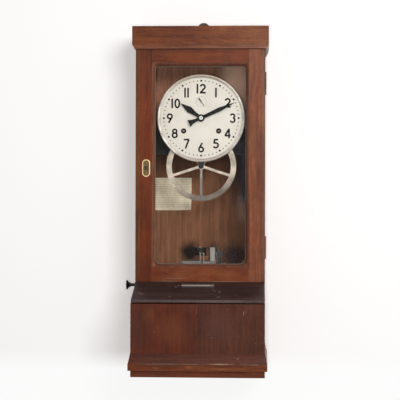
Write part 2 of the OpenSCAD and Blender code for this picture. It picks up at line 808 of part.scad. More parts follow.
// door
module stile(x0, x1) {
    box_at(x0, x1, -door_front_y, door_back, door_z0, door_z1);
}
module edge_groove(x) {
    box_at(x - 0.5, x + 0.5, -door_front_y - e, -door_front_y + 0.8, door_z0 - e, door_z1 + e);
}
module stile_left() {
    color("saddlebrown") difference() {
        stile(-half_w, -bead_out_w);
        edge_groove(-half_w + 10);
        rod_y([-lock_x, lock_z], lock_r + run, -door_front_y - e, door_back + e);
    }
}
module stile_right() {
    color("saddlebrown") difference() {
        stile(bead_out_w, half_w);
        edge_groove(half_w - 10);
        for (z = [hinge_low_z, hinge_top_z]) hinge_void(z, -1);
    }
}
module rail_top() {
    color("saddlebrown") box_at(-bead_out_w, bead_out_w, -door_front_y, door_back,
        sight_z1 + bead_w, door_z1);
}
module rail_bottom() {
    color("saddlebrown") box_at(-bead_out_w, bead_out_w, -door_front_y, door_back,
        door_z0, sight_z0 - bead_w);
}
module glass() {
    color("lightblue") face_xz(glass_y, glass_t)
        translate([0, (sight_z0 + sight_z1) / 2])
            square([sight_w + 2 * glass_lap, sight_h + 2 * glass_lap], center = true);
}
module glass_bead() {
    mid = (sight_z0 + sight_z1) / 2;
    color("peru") translate([0, 0, mid]) difference() {
        face_xz(-door_front_y + 1, door_t - 2) difference() {
            square([sight_w + 2 * bead_w, sight_h + 2 * bead_w], center = true);
            round_rect(sight_w, sight_h, bead_r);
        }
        face_xz(glass_y, door_t) square([sight_w + 2 * glass_lap, sight_h + 2 * glass_lap], center = true);
    }
}
module stadium(w, h) {
    square([w, h - w], center = true);
    for (s = [-1, 1]) translate([0, s * (h - w) / 2]) circle(w / 2);
}
module escutcheon() {
    color("gold") translate([-lock_x, 0, lock_z]) {
        face_xz(-door_front_y - plate_scut_t, plate_scut_t) difference() {
            stadium(22, 47);
            circle(lock_r + run);
        }
        face_xz(-door_front_y - plate_scut_t - 1, 1) difference() {
            stadium(22, 47);
            stadium(19, 44);
        }
    }
}
module escutcheon_screws() {
    color("gold") for (s = [-1, 1])
        translate([-lock_x, -door_front_y - plate_scut_t, lock_z + s * 14])
            rotate([90, 0, 0]) difference() {
                cylinder(r1 = 3, r2 = 2, h = 1.2);
                translate([-4, -0.4, 0.7]) cube([8, 0.8, 2]);
            }
}
module hinge_leaf(z, side, own) {
    z0 = z - hinge_l / 2;
    y = side > 0 ? door_back + leaf_gap : door_back - leaf_gap - leaf_t;
    x1 = pin_x - knuckle_r - 0.2;
    box_at(pin_x - knuckle_r - leaf_w, x1, y, y + leaf_t, z0, z + hinge_l / 2);
    for (k = own) {
        low = z0 + k * segment_l + 0.1;
        translate([pin_x, door_back, low]) cylinder(r = knuckle_r, h = segment_l - 0.2);
        box_at(x1 - 0.1, pin_x - 1.8, y, y + leaf_t, low, low + segment_l - 0.2);
    }
}
module case_hinges() {
    color("goldenrod") for (z = [hinge_low_z, hinge_top_z]) {
        hinge_leaf(z, 1, [0, 2, 4]);
        translate([pin_x, door_back, z - hinge_l / 2 + 1]) cylinder(r = pin_r, h = hinge_l - 2);
    }
}
module door_hinges() {
    color("goldenrod") for (z = [hinge_low_z, hinge_top_z]) difference() {
        hinge_leaf(z, -1, [1, 3]);
        translate([pin_x, door_back, z - hinge_l / 2 - e]) cylinder(r = pin_r + run, h = hinge_l + 2 * e);
    }
}
module lock_cylinder() {
    y0 = -door_front_y - plate_scut_t - 1.2;
    color("dimgray") difference() {
        union() {
            rod_y([-lock_x, lock_z], lock_r, y0, cam_y + cam_t);
            box_at(-lock_x - cam_w / 2, -lock_x + cam_w / 2, cam_y, cam_y + cam_t,
                lock_z - cam_l, lock_z);
        }
        translate([-lock_x, y0, lock_z]) rotate([0, 45, 0]) translate([-0.8, -1, -4.5]) cube([1.6, 4, 9]);
    }
}

// hands and wheels
module hand(at, y, t, turn, boss_r, hole_r, outline) {
    difference() {
        union() {
            rod_y(at, boss_r, y, y + t);
            face_xz(y, t) translate(at) rotate(-turn) polygon(outline);
        }
        rod_y(at, hole_r + 0.02, y - e, y + t + e);
    }
}
// mirror image of an outline's right half, so that both sides are drawn from one list
function both_sides(half) = concat(half, [for (k = [len(half) - 1:-1:0]) [-half[k][0], half[k][1]]]);
module minute_hand() {
    l = minute_l;
    color("black") hand(centre_at, minute_y, hand_t, minute_at, hand_boss_r, centre_r, both_sides([
        [0.105 * l, -0.36 * l], [0.06 * l, -0.27 * l], [0.04 * l, -0.14 * l], [0.04 * l, -0.02 * l],
        [0.058 * l, 0.55 * l], [0.006 * l, l]
    ]));
}
module hour_hand() {
    l = hour_l;
    color("black") hand(centre_at, hour_y, hand_t, hour_at, 1.02 * hand_boss_r, pipe_r, both_sides([
        [0.06 * l, -0.095 * l], [0.075 * l, 0.3 * l], [0.13 * l, 0.58 * l], [0.008 * l, l]
    ]));
}
module second_hand() {
    l = second_l;
    color("black") hand(second_at_xz, second_y, 0.8, second_at, second_boss_r, fine_r, both_sides([
        [0.15 * l, -0.8 * l], [0.085 * l, -0.08 * l], [0.04 * l, l]
    ]));
}
module centre_arbor() {
    color("silver") {
        rod_y(centre_at, centre_r, minute_y - 1, back_plate_y + plate_t + 1);
        rod_y(centre_at, hand_nut_r, minute_y - hand_nut_t, minute_y);
        face_xz(minute_wheel_y, hand_wheel_t) translate(centre_at) gear(cannon_n, hand_m);
        rod_y(centre_at, collar_r, minute_wheel_y + hand_wheel_t, front_plate_y - play);
        face_xz(front_plate_y + plate_t + 3, barrel_pinion_l) translate(centre_at)
            gear(barrel_pinion_n, barrel_m);
        face_xz(centre_wheel_y, 2) translate(centre_at) gear(centre_wheel_n, third_m);
    }
}
module hour_wheel() {
    th = direction(minute_arbor_at, centre_at);
    color("goldenrod") difference() {
        union() {
            face_xz(hour_wheel_y, hand_wheel_t) translate(centre_at)
                gear(hour_n, hour_m, mesh_phase(th, hour_pinion_n, 0, hour_n));
            rod_y(centre_at, pipe_r, hour_y - 1, hour_wheel_y + hand_wheel_t);
        }
        rod_y(centre_at, centre_r + run, hour_y - 2, front_plate_y);
    }
}
module minute_wheel() {
    th = direction(centre_at, minute_arbor_at);
    color("goldenrod") {
        face_xz(hour_wheel_y, minute_wheel_y - hour_wheel_y) translate(minute_arbor_at)
            gear(hour_pinion_n, hour_m);
        face_xz(minute_wheel_y, hand_wheel_t) translate(minute_arbor_at)
            gear(minute_n, hand_m, mesh_phase(th, cannon_n, 0, minute_n));
        face_xz(programme_y, programme_t) translate(minute_arbor_at) gear(drive_n, hand_m);
        rod_y(minute_arbor_at, arbor_r, hour_wheel_y, front_plate_y + plate_t);
    }
}
module programme_wheel() {
    th = direction(minute_arbor_at, hub_at);
    color("wheat") difference() {
        union() {
            face_xz(programme_y, programme_t) {
                translate(hub_at) difference() {
                    gear(programme_n, hand_m, mesh_phase(th, drive_n, 0, programme_n));
                    circle(programme_in, $fn = 128);
                }
                for (k = [0:4]) translate(hub_at) rotate(k * 72 - 90)
                    translate([0, -spoke_w / 2]) square([programme_in + 1, spoke_w]);
            }
            rod_y(hub_at, hub_r, programme_y - hub_back, programme_y + programme_t + hub_out);
        }
        rod_y(hub_at, stud_r + run, programme_y - 9, programme_y + 19);
    }
}
module third_wheel() {
    th = direction(centre_at, third_at);
    color("goldenrod") {
        face_xz(centre_wheel_y - 0.5, 3) translate(third_at)
            gear(small_n, third_m, mesh_phase(th, centre_wheel_n, 0, small_n));
        face_xz(third_wheel_y, 2) translate(third_at) gear(third_n, third_wheel_m);
        rod_y(third_at, fine_r, front_plate_y, back_plate_y + plate_t);
    }
}
module seconds_arbor() {
    th = direction(third_at, second_at_xz);
    color("silver") {
        face_xz(third_wheel_y - 0.5, 3) translate(second_at_xz)
            gear(small_n, third_wheel_m, mesh_phase(th, third_n, 0, small_n));
        rod_y(second_at_xz, fine_r, second_y - 0.5, back_plate_y + plate_t);
    }
}
module barrel(at, wheel_y) {
    th = direction(centre_at, at);
    face_xz(wheel_y, 4) translate(at)
        gear(barrel_n, barrel_m, mesh_phase(th, barrel_pinion_n, 0, barrel_n));
    rod_y(at, barrel_r, wheel_y + 4, wheel_y + 4 + barrel_l);
    rod_y(at, barrel_arbor_r, dial_y + 4, back_plate_y + plate_t);
    face_xz(dial_y - 1, 6) translate(at) rotate(20) square(4.6, center = true);
}
module barrel_left() {
    color("goldenrod") barrel(left_barrel_at, front_plate_y + plate_t + 4);
}
module barrel_right() {
    color("goldenrod") barrel(right_barrel_at, front_plate_y + plate_t + 13);
}
module balance_wheel() {
    y0 = back_plate_y + plate_t + 7;
    color("gold") {
        face_xz(y0, 2) translate(balance_at) {
            difference() {
                circle(balance_r);
                circle(balance_r - 2);
            }
            square([2 * balance_r - 2, 2], center = true);
        }
        rod_y(balance_at, 1, back_plate_y + plate_t, back_plate_y + plate_t + 16.8);
    }
}
module type_wheels() {
    color("silver") difference() {
        union() {
            for (k = [-2:1])
                rod_x(type_y, type_z, type_r, slot_x + k * type_step + 1, slot_x + (k + 1) * type_step - 1);
            rod_x(type_y, type_z, type_r / 2, slot_x - type_hub_l / 2, slot_x + type_hub_l / 2);
        }
        rod_x(type_y, type_z, pin_d / 2 + run, slot_x - type_hub_l, slot_x + type_hub_l);
    }
}
module ribbon_spool() {
    h = spool_z1 - spool_z0;
    color("black") translate([spool_x, spool_y, spool_z0]) difference() {
        union() {
            cylinder(r = spool_drum_r, h = h);
            for (z = [0, h - spool_cheek]) translate([0, 0, z]) cylinder(r = spool_r, h = spool_cheek);
        }
        translate([0, 0, -e]) cylinder(r = spindle_r + run, h = h + 2 * e);
    }
}
module push_knob() {
    color("black") translate([-knob_face, knob_y, knob_z]) rotate([0, 90, 0]) rotate_extrude()
        polygon([[0, 0.8], [knob_r - 2.5, 0.8], [knob_r - 1.2, 0], [knob_r, 0.8], [knob_r, 2],
            [knob_r - 1.6, 3.2], [knob_r * 0.62, 5.5], [knob_r * 0.46, 8], [rod_r + 0.9, knob_l - 1],
            [rod_r + 0.9, knob_l], [0, knob_l]]);
}
module push_rod() {
    color("silver") rod_x(knob_y, knob_z, rod_r, knob_l - knob_face, works_x0 + 9);
}
module hammer() {
    color("slategray") difference() {
        union() {
            rod_x(pivot_y, pivot_z, pin_d, slot_x - hammer_hub_w / 2, slot_x + hammer_hub_w / 2);
            box_at(slot_x - hammer_w / 2, slot_x + hammer_w / 2, pivot_y - works_t, pivot_y + works_t,
                pivot_z, type_z + hammer_head_h / 2);
            box_at(slot_x - hammer_head_w / 2, slot_x + hammer_head_w / 2, pivot_y - works_t, hammer_y,
                type_z - hammer_head_h / 2, type_z + hammer_head_h / 2);
        }
        rod_x(pivot_y, pivot_z, pin_d / 2 + run, slot_x - hammer_hub_w, slot_x + hammer_hub_w);
    }
}

side_left();
side_right();
back_boards();
base_block();
base_moulding();
front_boards();
lid_board();
sill_rail();
cornice_front();
cornice_returns();
cornice_cap();
cornice_moulding();
hanging_plate();
wood_screws();
slot_plate();
card_chute();
seat_bar();
movement_plates();
movement_pillars();
dial_plate();
dial_bezel();
dial_feet();
winding_rings();
wheel_bracket();
escapement_platform();
side_strip();
instruction_card();
print_bed();
print_frame();
print_post();
print_pins();
push_bush();
case_hinges();
stile_left();
stile_right();
rail_top();
rail_bottom();
glass();
glass_bead();
escutcheon();
escutcheon_screws();
door_hinges();
lock_cylinder();
minute_hand();
centre_arbor();
hour_hand();
hour_wheel();
minute_wheel();
programme_wheel();
second_hand();
seconds_arbor();
third_wheel();
barrel_left();
barrel_right();
balance_wheel();
type_wheels();
ribbon_spool();
push_knob();
push_rod();
hammer();
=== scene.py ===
import math
import bpy
import bmesh
import numpy as np
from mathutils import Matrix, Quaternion, Vector


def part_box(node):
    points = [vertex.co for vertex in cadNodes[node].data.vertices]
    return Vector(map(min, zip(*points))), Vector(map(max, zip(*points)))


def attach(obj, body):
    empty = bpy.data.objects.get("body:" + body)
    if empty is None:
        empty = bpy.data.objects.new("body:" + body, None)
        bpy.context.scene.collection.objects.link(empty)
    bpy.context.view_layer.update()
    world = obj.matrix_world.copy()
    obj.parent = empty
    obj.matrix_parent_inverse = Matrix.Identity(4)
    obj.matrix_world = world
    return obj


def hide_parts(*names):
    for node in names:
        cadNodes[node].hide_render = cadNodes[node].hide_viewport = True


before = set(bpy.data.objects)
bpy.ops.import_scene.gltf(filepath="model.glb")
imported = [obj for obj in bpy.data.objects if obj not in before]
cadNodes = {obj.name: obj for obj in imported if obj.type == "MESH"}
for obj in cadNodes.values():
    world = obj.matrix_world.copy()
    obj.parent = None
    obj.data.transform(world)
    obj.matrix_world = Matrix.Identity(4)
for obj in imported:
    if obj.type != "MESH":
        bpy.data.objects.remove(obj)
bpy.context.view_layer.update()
print("frame loaded:", len(cadNodes), "nodes")

mm = 0.001
circle = 2 * math.pi
corners = ((1, 1), (-1, 1), (-1, -1), (1, -1))


# links a value to a socket, or fills the socket with it; a colour of three numbers is opaque
def feed(value, socket):
    if isinstance(value, bpy.types.NodeSocket):
        socket.id_data.links.new(value, socket)
    elif socket.type == "RGBA" and len(value) == 3:
        socket.default_value = (*value, 1.0)
    else:
        socket.default_value = value


# adds one shader node to a tree, sets its fields and feeds its inputs
def addNode(tree, kind, inputs=None, **fields):
    node = tree.nodes.new("ShaderNode" + kind)
    for key, value in fields.items():
        setattr(node, key, value)
    for key, value in (inputs or {}).items():
        feed(value, node.inputs[key])
    return node


# adds one shader node to the tree that its inputs come from
def step(kind, inputs, **fields):
    tree = next(v.id_data for v in inputs.values() if isinstance(v, bpy.types.NodeSocket))
    return addNode(tree, kind, inputs, **fields)


# one step of arithmetic on one to three values
def calc(operation, *values, clamp=False):
    return step("Math", dict(enumerate(values)), operation=operation, use_clamp=clamp).outputs[0]


# the product of two values
def times(a, b, clamp=False):
    return calc("MULTIPLY", a, b, clamp=clamp)


# the sum of two values
def plus(a, b, clamp=False):
    return calc("ADD", a, b, clamp=clamp)


# one value less another
def minus(a, b):
    return calc("SUBTRACT", a, b)


# the larger of two values
def larger(a, b):
    return calc("MAXIMUM", a, b)


# how far a value is from the middle of its range
def fromHalf(value):
    return calc("ABSOLUTE", minus(value, 0.5))


# the length of a line from its two legs
def legs(a, b):
    return calc("SQRT", plus(times(a, a), times(b, b)))


# one step of arithmetic on vectors
def vectorCalc(operation, *values):
    outputs = step("VectorMath", dict(enumerate(values)), operation=operation).outputs
    return outputs["Value"] if operation in ("LENGTH", "DOT_PRODUCT") else outputs[0]


# blends colour a towards colour b by a share
def blend(share, a, b, how="MIX"):
    return step("Mix", {0: share, 6: a, 7: b}, data_type="RGBA", blend_type=how).outputs[2]


# two shaders mixed by a share
def mixShaders(share, a, b):
    return step("MixShader", {0: share, 1: a, 2: b}).outputs[0]


# a value carried from one range to another, held at the ends
def remap(value, low, high, toLow=0.0, toHigh=1.0):
    return step("MapRange", {"Value": value, "From Min": low, "From Max": high, "To Min": toLow,
                             "To Max": toHigh}).outputs["Result"]


# the three coordinates apart
def split(vector):
    return step("SeparateXYZ", {"Vector": vector}).outputs


# the coordinates moved, turned or stretched
def mapped(vector, **ways):
    return step("Mapping", {"Vector": vector, **ways}).outputs[0]


# noise at one scale; with a share along Z, it is drawn out that way
def noise(vector, scale, detail=2.0, rough=0.5, warp=0.0, along=None):
    if along:
        vector = mapped(vector, Scale=(1, 1, along))
    return step("TexNoise", {"Vector": vector, "Scale": scale, "Detail": detail, "Roughness": rough,
                             "Distortion": warp}).outputs["Fac"]


# a shared effect: a group whose inputs have names and defaults (one number is a value, three are a vector,
# four are a colour) and whose outputs are what a recipe makes of them
def buildEffect(name, inputs, recipe):
    group = bpy.data.node_groups.new(name, "ShaderNodeTree")
    kinds = {1: "NodeSocketFloat", 3: "NodeSocketVector", 4: "NodeSocketColor"}
    for label, default in {"Vector": (0, 0, 0), **inputs}.items():
        socket = group.interface.new_socket(name=label, in_out="INPUT", socket_type=kinds[np.size(default)])
        socket.default_value = default
    results = recipe(group.nodes.new("NodeGroupInput").outputs)
    for label in results:
        kind = kinds[4 if label == "Color" else 1]
        group.interface.new_socket(name=label, in_out="OUTPUT", socket_type=kind)
    ends = group.nodes.new("NodeGroupOutput").inputs
    for label, value in results.items():
        feed(value, ends[label])
    return group


# places a group with its own values
def placeGroup(group, inputs):
    return step("Group", inputs, node_tree=group).outputs


# scale, detail, roughness, warp and share along the grain of each noise in the wood
woodNoises = {
    "slow": (5.0, 3.0, 0.55, 0.0, 0.22), "waver": (16.0, 2.0, 0.5, 0.0, 0.12),
    "fibre": (900.0, 4.0, 0.6, 0.0, 0.018), "streak": (130.0, 3.0, 0.55, 0.3, 0.03),
    "pore": (1900.0, 1.0, 0.4, 0.0, 0.04), "mottle": (42.0, 5.0, 0.65, 0.0, 0.45),
    "shade": (9.0, 5.0, 0.65, 0.0, 0.4)}
woodHeart = 0.11
poreTone = (0.012, 0.006, 0.004)


# wood figure: rings are a sine of the warped distance from a heart line, fibres and pores are
# noise drawn out along Z, and slow blotches turn the tone redder or darker
def woodRecipe(inp):
    n = {key: noise(inp["Vector"], *row) for key, row in woodNoises.items()}
    parts = split(inp["Vector"])
    radius = legs(parts[0], plus(parts[1], woodHeart))
    radius = plus(radius, times(n["waver"], 0.05))
    radius = plus(radius, times(n["slow"], 0.09))
    turns = times(radius, inp["Rings"])
    ring = calc("POWER", remap(calc("SINE", times(turns, circle)), -1, 1), 1.7)
    pore = remap(n["pore"], 0.6, 0.7)
    tone = calc("MULTIPLY_ADD", ring, 0.3, times(n["fibre"], 0.35))
    tone = plus(tone, times(remap(n["streak"], 0.3, 0.7), 0.65))
    tone = calc("MULTIPLY_ADD", minus(tone, 0.62), inp["Figure"], 0.5, clamp=True)
    colour = blend(tone, inp["Dark"], inp["Light"])
    colour = blend(times(remap(n["slow"], 0.38, 0.64), 0.6), colour, inp["Red"])
    warm = times(remap(n["mottle"], 0.42, 0.66, 0.0, 0.34), inp["Cloud"], True)
    colour = blend(warm, colour, inp["Light"])
    shade = remap(n["shade"], 0.32, 0.64, -0.25, 0.15)
    shade = calc("MULTIPLY_ADD", shade, inp["Cloud"], 1.0)
    grey = step("CombineColor", {"Red": shade, "Green": shade, "Blue": shade}).outputs[0]
    colour = blend(1.0, colour, grey, "MULTIPLY")
    return {"Color": blend(times(pore, 0.55), colour, poreTone),
            "Height": minus(times(n["fibre"], 0.5), times(pore, 0.7)),
            "Gloss": calc("MULTIPLY_ADD", n["shade"], 0.5, times(pore, 0.4))}


# worn edges: how far the normal of a rounded copy of the edge turns from the face's own, times noise
def wearRecipe(inp):
    rounded = step("Bevel", {"Radius": inp["Radius"]}, samples=4).outputs[0]
    face = addNode(rounded.id_data, "NewGeometry").outputs["Normal"]
    turned = remap(vectorCalc("DOT_PRODUCT", rounded, face), 1.0, 0.8)
    patch = remap(noise(inp["Vector"], inp["Grain"], 5.0, 0.65), 0.42, 0.62)
    return {"Mask": times(times(turned, patch, True), inp["Amount"], True)}


# fine scratches: thin bright bands of noise drawn out along three slanting directions
def scratchRecipe(inp):
    total = 0.0
    for turn in (0.35, 1.9, -0.8):
        turned = mapped(inp["Vector"], Rotation=(turn, turn * 0.7, turn * 1.3))
        line = noise(turned, inp["Scale"], 2.0, 0.5, 0.4, 0.04)
        total = larger(total, remap(fromHalf(line), 0.0, 0.006, 1.0, 0.0))
    where = remap(noise(inp["Vector"], 22.0, 3.0), 0.5, 0.66)
    return {"Mask": times(times(total, where), inp["Amount"], True)}


# metal finish: fine grain, slow tarnish and small pits, all noise at three sizes
def metalRecipe(inp):
    slow = noise(inp["Vector"], 55.0, 6.0, 0.65)
    fine = noise(inp["Vector"], 2600.0, 2.0, 0.5, 0.0, 0.08)
    pits = step("TexVoronoi", {"Vector": inp["Vector"], "Scale": 700.0}).outputs["Distance"]
    pit = remap(pits, 0.06, 0.16, 1.0, 0.0)
    stain = times(remap(slow, 0.4, 0.68), inp["Tarnish"], True)
    return {"Color": blend(stain, inp["Clean"], inp["Dull"]),
            "Roughness": plus(plus(inp["Smooth"], times(stain, 0.35)), times(fine, 0.12), True),
            "Height": minus(times(fine, 0.3), times(pit, 0.5))}


# dust and painted shade: darkening where a point sees little open sky (ambient occlusion), in corners and
# recesses where shade falls, broken up by noise
def grimeRecipe(inp):
    shut = step("AmbientOcclusion", {"Distance": inp["Reach"]}, samples=4).outputs["AO"]
    patch = remap(noise(inp["Vector"], 90.0, 5.0, 0.6), 0.25, 0.7)
    return {"Mask": times(times(remap(shut, 0.85, 0.35), patch), inp["Amount"], True)}


# one spot of wear, stain, painted shadow or painted highlight: distance from a centre in sizes of the spot,
# its edge broken by noise
def spotRecipe(inp):
    off = vectorCalc("SUBTRACT", inp["Vector"], inp["Centre"])
    far = vectorCalc("LENGTH", vectorCalc("DIVIDE", off, inp["Size"]))
    edge = minus(noise(inp["Vector"], inp["Grain"], 5.0, 0.72), 0.45)
    return {"Mask": remap(plus(far, times(edge, inp["Ragged"])), 1.0, 0.35)}


woodFigure = buildEffect("woodFigure", {
    "Dark": (0.05, 0.02, 0.01, 1), "Light": (0.2, 0.08, 0.04, 1), "Red": (0.2, 0.05, 0.02, 1),
    "Rings": 180.0, "Figure": 0.5, "Cloud": 1.0}, woodRecipe)
wearAndLightSpot = buildEffect("wearAndLightSpot", {
    "Centre": (0, 0, 0), "Size": (0.01, 0.01, 0.01), "Grain": 420.0, "Ragged": 1.9}, spotRecipe)
edgeWear = buildEffect("edgeWear", {"Radius": 0.002, "Amount": 0.6, "Grain": 60.0}, wearRecipe)
scratches = buildEffect("scratches", {"Scale": 60.0, "Amount": 0.5}, scratchRecipe)
metalFinish = buildEffect("metalFinish", {
    "Clean": (0.6, 0.6, 0.6, 1), "Dull": (0.2, 0.2, 0.2, 1), "Tarnish": 0.5, "Smooth": 0.25}, metalRecipe)
dustAndShade = buildEffect("dustAndShade", {"Reach": 0.02, "Amount": 0.6}, grimeRecipe)
print("shared effects built")


# an empty material with its shader and the object's own coordinates
def startMaterial(name):
    material = bpy.data.materials.new(name)
    material.use_nodes = True
    tree = material.node_tree
    shader = next(n for n in tree.nodes if n.type == "BSDF_PRINCIPLED")
    return material, shader, addNode(tree, "TexCoord").outputs["Object"]


# feeds the shader its colour and roughness, and a bump of real height in metres on its normal
def finishShader(shader, colour, rough, height, depth, strength=0.5):
    bump = step("Bump", {"Height": height, "Distance": depth, "Strength": strength})
    for key, value in (("Base Color", colour), ("Roughness", rough), ("Normal", bump.outputs["Normal"])):
        feed(value, shader.inputs[key])


# each shared effect with its inputs and the keys of a look that fill them
effects = {
    # the first effect darkens corners and recesses by ambient occlusion: dust with painted shade
    "dustShade": (dustAndShade, {"Reach": "reach", "Amount": "dustShade"}),
    "scratch": (scratches, {"Scale": "scratchScale", "Amount": "scratch"}),
    "wear": (edgeWear, {"Radius": "wearRadius", "Amount": "wear", "Grain": "wearGrain"})}


# lays an effect's tone over a colour where its mask is
def layEffect(colour, effect, coords, look):
    group, keys = effects[effect]
    mask = placeGroup(group, {"Vector": coords, **{label: look[key] for label, key in keys.items()}})["Mask"]
    return blend(mask, colour, look[effect + "Colour"]), mask


# tones past planes: each share runs from none to full between two places on one axis
def laySteps(colour, coords, steps, how, within=None):
    parts = split(coords)
    for axis, start, end, tone in steps:
        share = remap(parts["xyz".index(axis)], start * mm, end * mm)
        if within:
            share = times(share, remap(parts[1], within * mm, (within - 1) * mm))
        colour = blend(share, colour, tone, how)
    return colour


grainTurns = {"z": (0, 0, 0), "x": (0, math.pi / 2, 0), "y": (math.pi / 2, 0, 0)}
plainBoard = {
    "dark": (0.058, 0.0125, 0.0052), "light": (0.215, 0.062, 0.021), "red": (0.185, 0.036, 0.0115),
    "gain": (1, 1, 1), "rings": 150.0, "figure": 1.0, "cloud": 1.0, "rough": 0.36, "specular": 0.22,
    "paintedShading": (), "inside": None, "spots": (),
    "reach": 0.012, "dustShade": 0.55, "dustShadeColour": (0.018, 0.009, 0.006),
    "scratchScale": 45.0, "scratch": 0.35, "scratchColour": (0.22, 0.12, 0.075),
    "wearRadius": 0.0022, "wearGrain": 60.0, "wear": 0.5, "wearColour": (0.25, 0.125, 0.075)}
spotEdge = {"finest": 420.0, "perSize": 1.6, "large": 18, "calm": 0.6, "ragged": 1.9}


# a varnished board: wood figure along one axis, with painted light, shade and sheen laid from side to side
# and from foot to head, darkened in its corners by dust and painted shade, worn light at its edges, and at a
# few single spots worn, stained or painted with shadow and highlight
def woodMaterial(name, look):
    look = {**plainBoard, **look}
    material, shader, coords = startMaterial(name)
    turned = mapped(coords, Rotation=grainTurns[look["grain"]], Location=look["offset"])
    tones = {key: [c * g for c, g in zip(look[key.lower()], look["gain"])]
             for key in ("Dark", "Light", "Red")}
    figure = placeGroup(woodFigure, {
        "Vector": turned, **tones, "Rings": look["rings"], "Figure": look["figure"], "Cloud": look["cloud"]})
    colour = laySteps(figure["Color"], coords, look["paintedShading"], "MULTIPLY", look["inside"])
    # dust and painted shade in corners and recesses
    colour, _ = layEffect(colour, "dustShade", coords, look)
    colour, scratch = layEffect(colour, "scratch", coords, look)
    colour, worn = layEffect(colour, "wear", coords, look)
    # spots: some worn or stained, others painted shadows and painted highlights
    for *numbers, share, tone in look["spots"]:
        at, size = numbers[:3], numbers[3:]
        wide, narrow = max(size[0], size[2]), min(size[0], size[2])
        spot = placeGroup(wearAndLightSpot, {
            "Vector": coords, "Centre": [c * mm for c in at], "Size": [c * mm for c in size],
            "Grain": min(spotEdge["finest"], spotEdge["perSize"] / (wide * mm)),
            "Ragged": spotEdge["calm" if narrow > spotEdge["large"] else "ragged"]})["Mask"]
        colour = blend(times(spot, share), colour, tone)
    rough = calc("MULTIPLY_ADD", figure["Gloss"], 0.25, look["rough"])
    rough = plus(rough, times(larger(worn, scratch), 0.2), True)
    height = minus(figure["Height"], times(scratch, 0.8))
    finishShader(shader, colour, rough, height, 0.00018, 0.6)
    shader.inputs["Specular IOR Level"].default_value = look["specular"]
    return material


plainMetal = {"tarnish": 0.5, "smooth": 0.25, "metallic": 1.0, "zones": (), "reach": 0.004, "dustShade": 0.5,
              "dustShadeColour": (0.02, 0.015, 0.01), "wearRadius": 0.0006, "wearGrain": 160.0, "wear": 0.3,
              "bump": 0.00006}


# a metal: shared finish with its own clean and dull colours, and a different tone past some planes
def metalMaterial(name, look):
    look = {**plainMetal, "wearColour": look["clean"], **look}
    material, shader, coords = startMaterial(name)
    finish = placeGroup(metalFinish, {
        "Vector": coords, **{key: look[key.lower()] for key in ("Clean", "Dull", "Tarnish", "Smooth")}})
    colour = laySteps(finish["Color"], coords, look["zones"], "MIX")
    # dust and painted shade in the metal's corners
    colour, _ = layEffect(colour, "dustShade", coords, look)
    colour, _ = layEffect(colour, "wear", coords, look)
    finishShader(shader, colour, finish["Roughness"], finish["Height"], look["bump"])
    shader.inputs["Metallic"].default_value = look["metallic"]
    return material


plainPaint = {"specular": 0.2, "wearRadius": 0.0008, "wearGrain": 140.0, "wear": 0.4, "bump": 0.00004,
              "wearColour": (0.12, 0.11, 0.1)}


# black paint or japan over metal: soft sheen, dusty patches from noise and bright rubbed edges
def paintMaterial(name, look):
    look = {**plainPaint, **look}
    material, shader, coords = startMaterial(name)
    patch = noise(coords, 70.0, 6.0, 0.6)
    colour = blend(remap(patch, 0.35, 0.7), look["base"], look["dusty"])
    colour, _ = layEffect(colour, "wear", coords, look)
    rough = calc("MULTIPLY_ADD", patch, 0.3, look["rough"], clamp=True)
    finishShader(shader, colour, rough, noise(coords, 1500.0), look["bump"])
    shader.inputs["Specular IOR Level"].default_value = look["specular"]
    return material


